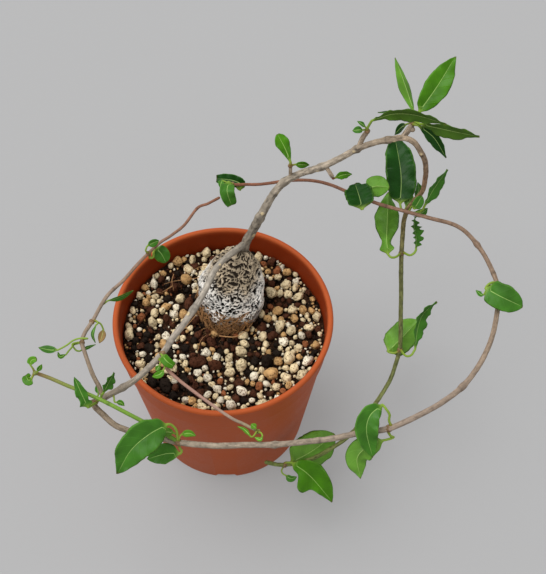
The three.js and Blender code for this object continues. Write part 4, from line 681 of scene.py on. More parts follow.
def scatter(rng, tries, sizes, keep, crowd, taken):
    """Throws discs at the soil's round top. A disc stays if it misses the caudex, if keep says so, and if its
    middle is crowd times the sum of both radii away from each disc before it."""
    (middle_x, middle_y), (half_x, half_y) = CAUDEX_ROOM["middle"], CAUDEX_ROOM["halves"]
    for _ in range(tries):
        size = rng.uniform(*sizes)
        r = (SOIL_EDGE - size) * np.sqrt(rng.random())
        a = 2 * np.pi * rng.random()
        x, y = r * np.cos(a), r * np.sin(a)
        if np.hypot((x - middle_x) / half_x, (y - middle_y) / half_y) < 1 or not keep(x, y, rng.random()):
            continue
        t = np.array(taken)
        if np.all(np.hypot(t[:, 0] - x, t[:, 1] - y) >= crowd * (t[:, 2] + size)):
            taken.append((x, y, size))


def peaty(x, y):
    """How brown the soil is, from 0 to 1: one in the middle of a patch and falling to its rim."""
    p = np.array(PEAT_PATCHES)
    near = np.max(np.exp(-(((x - p[:, 0]) ** 2 + (y - p[:, 1]) ** 2) / (1.3 * p[:, 2]) ** 2) ** 2))
    return float(np.clip(near + 0.25 * value_noise(np.array([x / 7, y / 7, 0.5]), 31), 0, 1))


def grain_surfaces(spots, kinds, detail, rng):
    """Balls squashed along three axes, turned at random and dented by noise; each has its own colour."""
    way, faces = ball(detail)
    n, m = len(spots), len(way)
    x, y, size = spots.T
    turn = np.array([Matrix.Rotation(a, 3, "X") @ Matrix.Rotation(b, 3, "Y") @ Matrix.Rotation(c, 3, "Z")
                     for a, b, c in rng.uniform(0, 6.3, (n, 3))])
    squash = np.stack([np.full(n, 1.06), rng.uniform(0.76, 1, n), rng.uniform(0.68, 0.95, n)], axis=-1)
    rough = np.array([1.5 if kind in ("brown", "dark") else 1 for kind in kinds])[:, None]
    broad = value_noise(way[None] * 1.4 + rng.uniform(0, 99, (n, 1, 3)), 7)
    fine = value_noise(way[None] * 3.1 + rng.uniform(0, 99, (n, 1, 3)), 8)
    dents = 1 + rough * (0.3 * broad + 0.12 * fine)
    form = np.einsum("nij,nvj->nvi", turn, way[None] * dents[..., None] * squash[:, None])
    lift = SOIL_TOP - 2.4 + size * rng.uniform(0.1, 0.75, n) + 0.8 * mounds(x, y)
    tint = linear(np.array([GRAIN_COLOURS[kind] for kind in kinds])) * rng.uniform(0.8, 1.1, (n, 1))
    made = Surfaces()
    made.add(form * size[:, None, None] + grid(x, y, lift)[:, None], NO_QUADS,
             (faces[None] + m * np.arange(n)[:, None, None]).reshape(-1, 3), tint=np.repeat(tint, m, axis=0))
    return made


# Surfaces of the plant

# The ends of the caudex's axis, and its radius as (share of the axis, radius).
CAUDEX_FOOT, CAUDEX_CROWN = np.array([0.5, 9, 76.0]), np.array([8, 22.5, 117.0])
CAUDEX_PROFILE = [
    (0, 9), (0.1, 12.7), (0.25, 14.9), (0.4, 15.7), (0.55, 15.2), (0.7, 12.9), (0.82, 10), (0.92, 6.9),
    (1, 4),
]
# The gap colours are painted shade in the cracks between the scales.
SCALE_COLOURS = {"pale": (250, 246, 238), "tan": (166, 150, 126), "root": (104, 72, 44), "gap": (12, 10, 8),
                 "tan gap": (40, 33, 26)}
# The level at which the fibres lie on the soil.
FIBRE_FLOOR = 81.6
FIBRE_TONES = {"long": (176, 132, 88), "short": (186, 138, 90)}
# The distance between rings along stems and along leaves.
BARK_PACE, BLADE_PACE = 0.45, 0.6
SCAR_COLOUR = linear((206, 186, 146))
TOWARDS_LIGHT = unit(np.array([0, -0.55, 0.84]))
# One ring of a blade's section: across from 1 to −1 underneath, and back on top. FACE is −1 underneath.
HALF = 8
ACROSS = np.r_[np.linspace(1, -1, 2 * HALF + 1), np.linspace(-1, 1, 2 * HALF + 1)[1:-1]]
FACE = np.r_[-np.ones(2 * HALF + 1), np.ones(2 * HALF - 1)][None, :]
AROUND = -np.pi * np.arange(4 * HALF)[None, :] / (2 * HALF)
VEIN_SPACING, VEIN_SLANT = 4.2, 0.85
# A distance across that no vein reaches, for stalks and knots.
NO_BLADE = 9


def caudex_surface(points_across=380, points_up=245):
    """Rings round a leaning axis. The radius follows the profile, with lumps from three sine waves. The
    crust is a maze: noise n is bent by a slower noise, and a ridge stands wherever |n| is near zero."""
    t = np.linspace(0, 1, points_up)[:, None]
    a = circle(points_across)[None, :]
    axis = CAUDEX_CROWN - CAUDEX_FOOT
    upward = unit(axis)
    east = unit(np.array([1.0, 0, 0]) - upward[0] * upward)
    north = np.cross(upward, east)
    lumps = 0.4 * np.sin(3 * a + 9 * t) + 0.35 * np.sin(7 * a - 14 * t) + 0.25 * np.sin(5 * a + 23 * t)
    radius = outline_at(CAUDEX_PROFILE, t) + lumps * step(1 - t, 0, 0.12)
    out = east * np.cos(a)[..., None] + north * np.sin(a)[..., None] + 0 * t[..., None]
    flat = CAUDEX_FOOT + axis * t[..., None] + radius[..., None] * out
    warp = np.stack([value_noise(flat / 2.2 + 9 * k, 40 + k) for k in range(3)], axis=-1)
    maze = value_noise(flat / 1.12 + 0.9 * warp, 51) + 0.3 * value_noise(flat / 0.6 + 0.5 * warp, 52)
    ridge = step(0.29 - np.abs(maze), -0.06, 0.13)
    return flat + out * (0.85 * (ridge - 0.7) * step(1 - t, 0, 0.05))[..., None], ridge


def caudex_tint(place, ridge):
    """Pale scales that turn tan towards the crown and root brown towards the soil, with painted shade in the
    gaps between them.
    """
    colours = {name: linear(colour) for name, colour in SCALE_COLOURS.items()}
    x, height = place[..., 0], place[..., 2]
    patch = fractal(place / 6, 3, 97)
    fleck = value_noise(place / 1.5, 98)
    upper = step(height + 2.5 * patch, 100, 110)[..., None]
    lower = step(height + 3.5 * patch + 3 * fleck + 0.35 * (x - 4), 96, 84)[..., None]
    pale = colours["pale"] * (0.78 + 0.22 * step(patch + 0.6, 0, 1.1))[..., None]
    tan = colours["tan"] * (0.85 + 0.5 * step(fleck, -0.3, 0.7))[..., None]
    root = colours["root"] * (0.35 + 0.9 * step(fleck, -0.6, 0.6))[..., None]
    scale = blend(blend(pale, tan, upper), root, lower)
    # Painted shade: the gaps between the ridges take the near-black gap colours.
    return blend(blend(colours["gap"], colours["tan gap"], upper), scale, step(ridge, 0.35, 0.8)[..., None])


def short_fibre(rng):
    """The route of a fibre that hangs on the caudex's foot and spreads where it meets the soil."""
    a = rng.uniform(2.5, 5.3)
    high = rng.uniform(82.5, 96) if a > 3.3 else rng.uniform(82.5, 91)
    length, lean = rng.uniform(2.5, 7.5), rng.normal(0, 0.75)
    s = np.linspace(0, 1, 5)
    z = high - length * s * np.cos(lean)
    side = a + length * s * np.sin(lean) / 14 + 0.05 * np.cumsum(rng.normal(0, 0.5, 5))
    axis = CAUDEX_CROWN - CAUDEX_FOOT
    t = (z - CAUDEX_FOOT[2]) / axis[2]
    spread_out = np.maximum(FIBRE_FLOOR - z, 0) * 1.3
    loose_end = 0.5 * np.abs(rng.normal(0, 1)) * s
    reach = outline_at(CAUDEX_PROFILE, np.clip(t, 0, 1)) + 0.5 + spread_out + loose_end
    z = np.maximum(z, FIBRE_FLOOR) + 0.5 * rng.random(5)
    middle = CAUDEX_FOOT + axis * t[:, None]
    return grid(middle[:, 0] + reach * np.cos(side), middle[:, 1] + reach * np.sin(side), z)


def fibre_surface(surfaces, route, thick, tint):
    """A five-sided tube along the route that thins to a third of its width."""
    place, tangent, t, _ = smooth_path(route, 12)
    up, side = frames(tangent, np.array([0.1, 0.2, 1.0]))
    turn = circle(5)[None, :, None]
    width = (thick * (1 - 0.65 * t))[:, None, None]
    out = up[:, None] * np.cos(turn) + side[:, None] * np.sin(turn)
    surfaces.tube(place[:, None] + width * out, tint=tint[None, None])


def ways_of(stem):
    """The stem's own route and its spurs', each with its radius, which is None for the stem's own."""
    return [(stem["route"], None), *stem.get("spurs", [])]


def stem_surface(surfaces, stem):
    """A tube along the stem's curve. Its radius is read from the stem's table, grows by a bell curve at
    each swelling and node, and closes as a half circle at both ends. Long noise along it makes pale
    streaks and grooves, and each scar is a pale disc that stands proud."""
    rough = stem.get("rough", 1)
    for index, (route, spur) in enumerate(ways_of(stem)):
        place, tangent, t, length = paced_path(route, BARK_PACE, 8)
        up, side = frames(tangent, np.array(stem.get("level", (0, 0, 1.0))))
        run = t * length
        own = spur is None
        radius = along(stem["radii"], t) if own else np.full_like(t, spur)
        knots = 0 * t
        for spot in stem.get("swellings", []) if own else []:
            gap = run - run[np.argmin(np.linalg.norm(place - spot, axis=1))]
            radius = radius + 0.4 * bell(gap, 1.6)
            knots = np.maximum(knots, 0.5 * bell(gap, 1.4))
        for share in stem.get("nodes", []) if own else []:
            gap = run - share * length
            radius = radius + 0.09 * np.minimum(radius, 1.4) * bell(gap, 0.9)
            knots = np.maximum(knots, bell(gap, 0.6) + 0.4 * bell(gap - 1.1, 0.3))
        end = np.clip(np.minimum(t, 1 - t) * length / radius, 0, 1)
        radius = (radius * np.sqrt(np.clip(1 - (1 - end) ** 2, 0.02, 1)))[:, None]
        a = circle(stem["columns"])[None, :]
        out = up[:, None] * np.cos(a)[..., None] + side[:, None] * np.sin(a)[..., None]
        flat = place[:, None] + out * radius[..., None]
        run = run[:, None] + 0 * a
        wrap = grid(np.cos(a), np.sin(a), 9.0 * index + 0 * run)
        lengthwise = np.array([0, 0, 1.0]) * run[..., None]
        streak = value_noise(wrap * 2.2 + lengthwise / 3.4, 71)
        crack = value_noise(wrap * 3.8 + lengthwise / 1.3, 72)
        bark = fractal(flat / 1.1, 3, 73)
        relief = rough * np.minimum(radius, 1.6) * (0.04 * streak + 0.035 * crack + 0.035 * bark)
        tone = linear(along(stem["tones"], t if own else np.full_like(t, stem.get("spur_tone", 0.3))))
        shade = 1 + rough * (0.3 * step(streak, 0.05, 0.7) - 0.3 * step(-crack, 0.1, 0.7) + 0.14 * bark)
        shade = shade * (1 - 0.4 * np.clip(knots, 0, 1))[:, None]
        tint = tone[:, None] * np.clip(shade, 0.3, 1.8)[..., None]
        for share, angle, size in stem.get("scars", []) if own else []:
            turn = np.abs((a - np.radians(angle) + np.pi) % (2 * np.pi) - np.pi) * radius
            disc = 1 - step(np.hypot(run - share * length, 1.2 * turn), 0.65 * size, 1.1 * size)
            relief = relief + 0.16 * size * disc
            tint = blend(tint, SCAR_COLOUR * (0.85 + 0.25 * bark[..., None]), disc[..., None])
        surfaces.tube(flat + out * relief[..., None], tint=tint)


def nearest_on(stem, spot):
    """The point of the stem's or a spur's middle line that lies nearest to the spot."""
    lines = np.vstack([smooth_path(route, 300)[0] for route, _ in ways_of(stem)])
    return lines[np.argmin(np.linalg.norm(lines - np.array(spot), axis=1))]


def leaf_line(stem, leaf):
    """The middle line from the stem to the tip: places, the ways across and up, the share of the blade, the
    distance past the blade's base, and the lengths of the blade and the stalk."""
    root = leaf["start"] or nearest_on(stem, leaf["stalk"][0])
    rib, rib_way, t, run = paced_path(leaf["rib"], BLADE_PACE, 14, 70)
    stalk, stalk_way, u, stalk_run = paced_path([root, *leaf["stalk"], leaf["rib"][0]], BLADE_PACE, 5, 24)
    up, side = frames(rib_way, TOWARDS_LIGHT)
    angle = np.radians(leaf["turn"])
    up = up * np.cos(angle) + side * np.sin(angle)
    way = np.vstack([stalk_way[:-1], rib_way])
    way = unit(way + unit(np.vstack([way[:1], way[:-1] + way[1:]])))
    first = len(stalk) - 1
    up, _ = frames(way, np.vstack([np.repeat(up[:1], first, axis=0), up]))
    share = np.r_[np.zeros(first), t][:, None]
    far = np.r_[(u[:-1] - 1) * stalk_run, t * run][:, None]
    return np.vstack([stalk[:-1], rib]), np.cross(way, up), up, share, far, run, stalk_run


def leaf_surface(surfaces, stem, leaf, seed):
    """One closed sheet from the stem to the tip. The stalk is round; over its first 3 mm the section
    opens into the blade, whose half-width is the outline's, folded up from the rib, waved at the edge by
    s²cos(2πnt), grooved on top and ribbed below along the middle, and puckered by noise."""
    centre, across, up, share, far, run, stalk_run = leaf_line(stem, leaf)
    s = (np.sign(ACROSS) * np.abs(ACROSS) ** 1.2)[None, :]
    width, torn = (np.maximum(leaf["width"] / 2 * outline_at(OUTLINES[shape], share), 0.12)
                   for shape in (leaf["shape"], "torn"))
    reach = np.where(leaf["torn"] & (s > 0), torn, width) * s
    big = np.clip(width / 5, 0.3, 1)
    nick = grid(far / 3.2, np.sign(s) * 4, seed)
    reach = reach * (1 + 0.045 * np.abs(s) ** 3 * (value_noise(nick, 81) + 0.5 * value_noise(2.3 * nick, 82)))
    x = np.abs(reach)
    height, count = leaf["wave"]
    phase = 2 * np.pi * count * share
    beat = np.where(s < 0, 2.2, 0)
    wave = height * (s**2 * np.cos(phase + beat) + 0.3 * np.abs(s) ** 3 * np.cos(2.3 * phase + 2 * beat))
    spot = grid(far, reach, seed * 5.7)
    pucker = 0.3 * value_noise(spot / 3.4, 83) + 0.14 * value_noise(spot / 1.7, 84)
    fold = np.radians(leaf["fold"])
    lift = (np.sqrt(x**2 + 0.35**2) - 0.35) * np.tan(fold) + wave + big * pucker * step(x, 0.3, 1.6)
    lift = lift - 0.13 * big * bell(x, 0.4)
    veins = np.cos(2 * np.pi * (far - VEIN_SLANT * x) / VEIN_SPACING) * step(x, 0.6, 2.2) * (1 - s**4)
    lift = lift - 0.035 * big * veins
    thick = 0.19 * (1 - np.abs(s) ** 6)
    below = 0.34 * big * bell(x, 0.6) * (1 - 0.75 * share) * (FACE < 0)
    foot = bell(far + stalk_run, 1.6)
    thin = (0.56 + 0.25 * foot) * np.clip(leaf["width"] / 6, 0.7, 1)
    open_up = step(far, -0.2, min(3.0, 0.2 * run))
    sx = blend(thin * np.cos(AROUND), reach * np.cos(fold), open_up)
    sy = blend(thin * np.sin(AROUND), lift + FACE * thick - below, open_up)
    rings = centre[:, None] + across[:, None] * sx[..., None] + up[:, None] * sy[..., None]
    tint = leaf_tint(leaf["kind"], s, spot, share, (FACE < 0) * open_up, open_up, bell(far + stalk_run, 1.9))
    surfaces.tube(rings, tint=tint, across=reach + NO_BLADE * (1 - open_up), along=far, share=share,
                  blade=open_up * np.clip((0.97 - share) / 0.1, 0, 1))


def leaf_tint(kind, s, spot, share, under, open_up, foot):
    """The kind's green on top and underneath in soft lighter and darker patches, partly the leaf's own tone
    and partly painted sheen, darker at the upper edge, brown at the very tip; the stalk is green, and brown
    at its foot."""
    face, back = (linear(colour) for colour in LEAF_TONES[kind])
    patch = value_noise(spot / 6.0, 85) + 0.5 * value_noise(spot / 2.6, 86)
    # Partly painted sheen: the soft patches lighten and darken the green as well as varying its tone.
    tint = blend(face, back, under[..., None]) * (1 + 0.27 * patch)[..., None]
    tint = tint * (1 - 0.35 * step(np.abs(s), 0.86, 1.0) * (1 - under))[..., None]
    tip = step(share + 0 * s, 0.955, 0.995)[..., None]
    tint = blend(tint, linear(STALK_TONES["tip"]), 0.7 * tip)
    stalk = blend(linear(STALK_TONES["green"]), linear(STALK_TONES["foot"]), foot[..., None])
    return blend(tint, stalk, (1 - open_up)[..., None])


def knot_surface(surfaces, at, radius, seed, tint):
    """A small lumpy knot at a node, where leaf stalks meet: a ball whose radius varies by noise."""
    t = np.linspace(0.06, np.pi - 0.06, 14)[:, None]
    a = circle(22)[None, :]
    way = grid(np.sin(t) * np.cos(a), np.sin(t) * np.sin(a), -np.cos(t))
    lump = value_noise(way * 1.7 + seed, 91) + 0.4 * value_noise(way * 4 + seed, 92)
    shade = tint * (1 + 0.45 * value_noise(way * 3 + seed, 93))[..., None]
    zero = np.zeros((1, 1))
    surfaces.tube(np.array(at) + way * (radius * (1 + 0.2 * lump))[..., None], tint=shade,
                  across=zero + NO_BLADE, along=zero, share=zero, blade=zero)


# Materials

SOCKET_KINDS = {type(None): "NodeSocketVector", tuple: "NodeSocketColor", float: "NodeSocketFloat"}


def add(tree, kind, inputs=None, **settings):
    """Adds a node, sets its options, and fills its sockets with values or links from other sockets."""
    made = tree.nodes.new(kind)
    for key, value in settings.items():
        setattr(made, key, value)
    for key, value in (inputs or {}).items():
        if isinstance(value, bpy.types.NodeSocket):
            tree.links.new(value, made.inputs[key])
        else:
            made.inputs[key].default_value = value
    return made


def link(tree, target, **sockets):
    """Links sockets to the inputs of a node that stands already."""
    for name, socket in sockets.items():
        tree.links.new(socket, target.inputs[name.replace("_", " ")])


def mix(tree, factor, a, b, blend_type="MIX"):
    """Colour a where the factor is 0 and b, or a times b, where it is 1."""
    inputs = {0: factor, 6: a, 7: b}
    return add(tree, "ShaderNodeMix", inputs, data_type="RGBA", blend_type=blend_type).outputs[2]


def tinged(tree, colour, by):
    """A colour times a plain colour."""
    return mix(tree, 1.0, colour, (*by, 1), "MULTIPLY")


def calc(tree, operation, *values):
    """One step of arithmetic."""
    return add(tree, "ShaderNodeMath", dict(enumerate(values)), operation=operation).outputs[0]


def times(tree, a, b):
    """a times b."""
    return calc(tree, "MULTIPLY", a, b)


def spread(tree, value, low, high, to_low=0.0, to_high=1.0):
    """A value from low..high as to_low..to_high, smoothly and no further."""
    limits = {"Value": value, "From Min": low, "From Max": high, "To Min": to_low, "To Max": to_high}
    return add(tree, "ShaderNodeMapRange", limits, interpolation_type="SMOOTHSTEP").outputs[0]


def noise(tree, place, scale, detail=3.0, rough=0.5):
    """Fractal noise from 0 to 1, with scale bumps to the metre."""
    inputs = {"Vector": place, "Scale": scale, "Detail": detail, "Roughness": rough}
    return add(tree, "ShaderNodeTexNoise", inputs).outputs["Fac"]


def attribute(tree, name, output="Fac"):
    """A value or colour that the mesh holds for each point."""
    return add(tree, "ShaderNodeAttribute", attribute_name=name).outputs[output]


def shader_group(name, inputs, outputs):
    """A new shader node group; a socket is a vector, colour or number as its default says. Returns the group
    with its inputs' sockets and its end node."""
    tree = bpy.data.node_groups.new(name, "ShaderNodeTree")
    for direction, sockets in (("INPUT", inputs), ("OUTPUT", outputs)):
        for label, default in sockets.items():
            made = tree.interface.new_socket(label, in_out=direction, socket_type=SOCKET_KINDS[type(default)])
            if default is not None:
                made.default_value = default
    start, end = tree.nodes.new("NodeGroupInput"), tree.nodes.new("NodeGroupOutput")
    return tree, start.outputs, end


def mottle_group(name):
    """Turns a colour lighter and darker in soft patches, with fine specks over them."""
    tree, put, end = shader_group(
        name, {"Place": None, "Color": (0.5, 0.5, 0.5, 1), "Patch Scale": 100.0, "Speck Scale": 900.0,
               "Amount": 0.2}, {"Color": (0, 0, 0, 1), "Value": 0.0})
    patch = noise(tree, put["Place"], put["Patch Scale"])
    speck = noise(tree, put["Place"], put["Speck Scale"], 2.0)
    value = calc(tree, "ADD", times(tree, patch, 0.65), times(tree, speck, 0.35))
    swing = calc(tree, "SUBTRACT", value, 0.5)
    shade = calc(tree, "MULTIPLY_ADD", swing, times(tree, put["Amount"], 4.0), 1.0)
    scaled = add(tree, "ShaderNodeVectorMath", {0: put["Color"], "Scale": shade}, operation="SCALE")
    link(tree, end, Color=scaled.outputs[0], Value=value)
    return tree


def pits_group(name):
    """Round pits: a mask that is 0 in a pit and 1 between them, and a height with fine grain."""
    tree, put, end = shader_group(
        name, {"Place": None, "Scale": 900.0, "Width": 0.35}, {"Mask": 0.0, "Height": 0.0})
    drift = {"Vector": put["Place"], "Scale": put["Scale"], "Detail": 2.0}
    warp = add(tree, "ShaderNodeTexNoise", drift).outputs["Color"]
    shift = {0: warp, 1: (0.0007,) * 3, 2: put["Place"]}
    bent = add(tree, "ShaderNodeVectorMath", shift, operation="MULTIPLY_ADD").outputs[0]
    cells = add(tree, "ShaderNodeTexVoronoi", {"Vector": bent, "Scale": put["Scale"]}).outputs["Distance"]
    limits = {"Value": cells, "From Min": 0.0, "From Max": put["Width"]}
    far = add(tree, "ShaderNodeMapRange", limits).outputs[0]
    grain = noise(tree, put["Place"], times(tree, put["Scale"], 2.4), 4.0, 0.6)
    link(tree, end, Mask=far, Height=calc(tree, "ADD", times(tree, far, 0.6), times(tree, grain, 0.6)))
    return tree


def veins_group(name):
    """A leaf's veins from the distance across and along it in millimetres: a rib down the middle, and
    side veins that leave it slanting towards the tip. Gives the two masks and a height."""
    tree, put, end = shader_group(
        name, {"Across": 0.0, "Along": 0.0, "Share": 0.0, "Spacing": VEIN_SPACING, "Slant": VEIN_SLANT,
               "Rib Width": 0.5}, {"Rib": 0.0, "Side": 0.0, "Height": 0.0})
    x = calc(tree, "ABSOLUTE", put["Across"])
    thin = times(tree, put["Rib Width"], calc(tree, "SUBTRACT", 1.0, times(tree, put["Share"], 0.7)))
    rib = spread(tree, x, 0.0, thin, 1.0, 0.0)
    slanted = calc(tree, "SUBTRACT", put["Along"], times(tree, x, put["Slant"]))
    offset = times(tree, spread(tree, put["Across"], -0.1, 0.1), times(tree, put["Spacing"], 0.4))
    turns = calc(tree, "FRACT", calc(tree, "DIVIDE", calc(tree, "ADD", slanted, offset), put["Spacing"]))
    gap = times(tree, calc(tree, "ABSOLUTE", calc(tree, "SUBTRACT", turns, 0.5)), put["Spacing"])
    side = spread(tree, gap, 0.05, 0.32, 1.0, 0.0)
    link(tree, end, Rib=rib, Side=side, Height=calc(tree, "ADD", rib, times(tree, side, 0.5)))
    return tree


GROUPS = {"Mottle": mottle_group, "Pits": pits_group, "Leaf veins": veins_group}


def use(tree, name, **inputs):
    """Places a shared group, which is built when it is first asked for, and fills its sockets."""
    group = bpy.data.node_groups.get(name) or GROUPS[name](name)
    filled = {key.replace("_", " "): value for key, value in inputs.items()}
    return add(tree, "ShaderNodeGroup", filled, node_tree=group).outputs


def mottled(tree, place, colour, patches, specks, amount):
    """A colour that varies in patches and specks, so many to the metre, by an amount."""
    return use(tree, "Mottle", Place=place, Color=colour, Patch_Scale=patches, Speck_Scale=specks,
               Amount=amount)


def material(name, roughness, specular):
    """A new node material: returns it, its tree, its Principled shader and the Object coordinates."""
    made = bpy.data.materials.new(name)
    made.use_nodes = True
    tree = made.node_tree
    shader = next(n for n in tree.nodes if n.type == "BSDF_PRINCIPLED")
    shader.inputs["Roughness"].default_value = roughness
    shader.inputs["Specular IOR Level"].default_value = specular
    return made, tree, shader, add(tree, "ShaderNodeTexCoord").outputs["Object"]


def finish(tree, shader, colour, height, depth):
    """Gives the shader its colour and a bump of the height, with its depth in metres."""
    relief = add(tree, "ShaderNodeBump", {"Height": height, "Distance": depth}).outputs[0]
    link(tree, shader, Base_Color=colour, Normal=relief)


def pot_material():
    """Brick-orange plastic: faint flow mottle, painted shade that darkens the inner wall above the soil,
    satin with fine scuffs. The radii and heights that part its inside from the rest are in metres."""
    made, tree, shader, place = material("pot plastic", 0.48, 0.06)
    colour = mottled(tree, place, (*looks().pot_colour, 1), 45.0, 600.0, 0.05)
    parts = add(tree, "ShaderNodeSeparateXYZ", {0: place}).outputs
    flat = add(tree, "ShaderNodeCombineXYZ", {"X": parts["X"], "Y": parts["Y"]}).outputs[0]
    radius = add(tree, "ShaderNodeVectorMath", {0: flat}, operation="LENGTH").outputs["Value"]
    within, above = spread(tree, radius, 0.0493, 0.0499, 1.0, 0.0), spread(tree, parts["Z"], 0.0785, 0.08)
    # Painted shade: the inner wall above the soil is darkened to stand in for the shadow inside the pot.
    inner_wall_shade = tinged(tree, colour["Color"], (0.62, 0.4, 0.3))
    link(tree, shader, Roughness=spread(tree, colour["Value"], 0.3, 0.7, 0.42, 0.56))
    inside = mix(tree, times(tree, within, above), colour["Color"], inner_wall_shade)
    finish(tree, shader, inside, noise(tree, place, 900.0), 0.00005)
    return made


def grit_material():
    """Pitted grains: each grain's own colour, mottled, with painted shade that darkens its pits."""
    made, tree, shader, place = material("grit grains", 0.95, 0.1)
    pits = use(tree, "Pits", Place=place, Scale=900.0, Width=0.46)
    colour = mottled(tree, place, attribute(tree, "tint", "Color"), 420.0, 1700.0, 0.3)["Color"]
    # Painted shade: the colour is darkened in the pits to stand in for the shadow inside them.
    dark = tinged(tree, colour, (0.26, 0.16, 0.1))
    finish(tree, shader, mix(tree, pits["Mask"], dark, colour), pits["Height"], 0.0008)
    return made


def peat_material():
    """Peat: black-brown in patches, pitted, with lighter crumbs; its near-black is partly its own colour and
    partly painted shade for the gaps between the grains.
    """
    made, tree, shader, place = material("peat", 0.95, 0.1)
    pits = use(tree, "Pits", Place=place, Scale=700.0, Width=0.6)
    patch = spread(tree, noise(tree, place, 160.0, 4.0), 0.4, 0.66)
    # Partly painted shade: the peat is made near black so that the gaps between the grains look shaded.
    base = mix(tree, patch, (0.009, 0.005, 0.003, 1), (0.055, 0.024, 0.012, 1))
    crumbs = spread(tree, noise(tree, place, 900.0, 2.0), 0.6, 0.7)
    finish(tree, shader, mix(tree, crumbs, base, (0.16, 0.08, 0.04, 1)), pits["Height"], 0.0012)
    return made


def crust_material():
    """The caudex's bark: colour per point, with fine specks and grain."""
    made, tree, shader, place = material("caudex crust", 0.9, 0.12)
    colour = mottled(tree, place, attribute(tree, "tint", "Color"), 500.0, 2500.0, 0.14)["Color"]
    finish(tree, shader, colour, noise(tree, place, 1800.0), 0.0003)
    return made


def bark_material(name, roughness, specks):
    """Thin bark: each point's own colour, with fine specks and grain, and small pale warts."""
    made, tree, shader, place = material(name, roughness, 0.2)
    colour = mottled(tree, place, attribute(tree, "tint", "Color"), 420.0, 1900.0, specks)["Color"]
    warts = use(tree, "Pits", Place=place, Scale=520.0, Width=0.2)
    pale = tinged(tree, colour, (1.5, 1.45, 1.38))
    finish(tree, shader, mix(tree, warts["Mask"], pale, colour), noise(tree, place, 1500.0, 4.0), 0.0003)
    return made


def leaf_material():
    """Leathery blades: each point's green, which holds patches of painted sheen, with fine mottle, a thin
    bright rib and faint side veins, and a waxy gloss that varies in soft patches."""
    made, tree, shader, place = material("leaf blade", 0.42, 0.14)
    veins = use(tree, "Leaf veins", Across=attribute(tree, "across"), Along=attribute(tree, "along"),
                Share=attribute(tree, "share"), Rib_Width=0.36)
    blade = attribute(tree, "blade")
    colour = mottled(tree, place, attribute(tree, "tint", "Color"), 260.0, 1400.0, 0.08)["Color"]
    pale = tinged(tree, colour, (1.9, 1.6, 1.9))
    bright = mix(tree, 0.62, pale, (0.46, 0.64, 0.2, 1))
    soft = mix(tree, times(tree, times(tree, veins["Side"], 0.16), blade), colour, pale)
    ribbed = mix(tree, times(tree, times(tree, veins["Rib"], 0.9), blade), soft, bright)
    fine = times(tree, noise(tree, place, 1100.0), 0.4)
    link(tree, shader, Roughness=spread(tree, noise(tree, place, 190.0, 2.0), 0.35, 0.65, 0.3, 0.52))
    finish(tree, shader, ribbed, calc(tree, "ADD", times(tree, veins["Height"], blade), fine), 0.0001)
    return made


# Settings that a user would change
class PottedFockeaSettings(bpy.types.PropertyGroup):
    """The sizes and colours of the potted plant and its stage"""

    pot_colour: FloatVectorProperty(
        name="Pot colour", description="Colour of the pot's plastic", subtype="COLOR", size=3, min=0, max=1,
        default=(0.385, 0.08, 0.023))
    grains: IntProperty(
        name="Small grains", description="Tries at placing the smallest grains", default=2600, min=0)
    root_fibres: IntProperty(
        name="Root fibres", description="Short fibres on the caudex's foot", default=420, min=0)
    floor_colour: FloatVectorProperty(
        name="Floor colour", description="Colour of the floor", subtype="COLOR", size=3, min=0, max=1,
        default=(0.2, 0.2, 0.202))
    floor_glow: FloatProperty(
        name="Floor glow", description="Light that the floor gives off", default=0.2, min=0)
    key_power: FloatProperty(
        name="Key light", description="Strength of the soft light overhead", default=2.6, min=0)


def looks():
    """The settings in the current scene."""
    return bpy.context.scene.potted_fockea


# One operator for each piece or group of like pieces
class PLANT_OT_pot(bpy.types.Operator):
    """Make the plastic pot with its lip, collar, notched foot and drain holes"""

    bl_idname = "potted_fockea.pot"
    bl_label = "Make the pot"

    def execute(self, context):
        whole = pot_surface().piece("pot_body", pot_material(), "pot", "pot_plastic")
        tool = cutters().loose("pot_cutter")
        cut = whole.modifiers.new("holes", "BOOLEAN")
        cut.object, cut.operation, cut.solver = tool, "DIFFERENCE", "EXACT"
        context.view_layer.update()
        mesh = bpy.data.meshes.new_from_object(whole.evaluated_get(context.evaluated_depsgraph_get()))
        whole.modifiers.remove(cut)
        old, whole.data = whole.data, mesh
        mesh.name = "pot_body"
        bpy.data.objects.remove(tool)
        bpy.data.meshes.remove(old)
        mesh.set_sharp_from_angle(angle=np.radians(40))
        return {"FINISHED"}


class PLANT_OT_soil(bpy.types.Operator):
    """Make the peat bed and the grains of grit that lie on it"""

    bl_idname = "potted_fockea.soil"
    bl_label = "Make the soil"

    def execute(self, context):
        bed = Surfaces()
        bed.tube(peat_surface())
        bed.piece("soil_peat", peat_material(), "soil", "grit_soil")
        rng = np.random.default_rng(11)
        taken = [row for rows in PLACED_GRAINS.values() for row in rows]
        kinds = [kind for kind, rows in PLACED_GRAINS.items() for _ in rows]
        placed = len(taken)
        scatter(rng, 500, (2.1, 3.1), lambda x, y, luck: luck > 0.4 + 0.5 * peaty(x, y), 0.9, taken)
        large = len(taken)
        scatter(rng, 3000, (1.3, 2.1), lambda x, y, luck: luck > 0.2, 0.84, taken)
        middling = len(taken)
        scatter(rng, looks().grains, (0.55, 1.2), lambda x, y, luck: True, 0.74, taken)
        brown = np.array([peaty(x, y) for x, y, _ in taken[placed:]])[:, None]
        grit_odds, brown_odds = np.array(list(GRAIN_ODDS.values())).T
        rising = np.cumsum(grit_odds + brown * brown_odds, axis=1)
        drawn = (rng.random(len(brown))[:, None] * rising[:, -1:] > rising).sum(axis=1)
        kinds += [list(GRAIN_ODDS)[k] for k in drawn]
        spots = np.array(taken)
        grit = grit_material()
        parts = {"grains_large": (slice(0, large), 3), "grains_middling": (slice(large, middling), 2),
                 "grains_small": (slice(middling, None), 1)}
        for name, (part, detail) in parts.items():
            grain_surfaces(spots[part], kinds[part], detail, rng).piece(name, grit, None, "grit_soil")
        return {"FINISHED"}


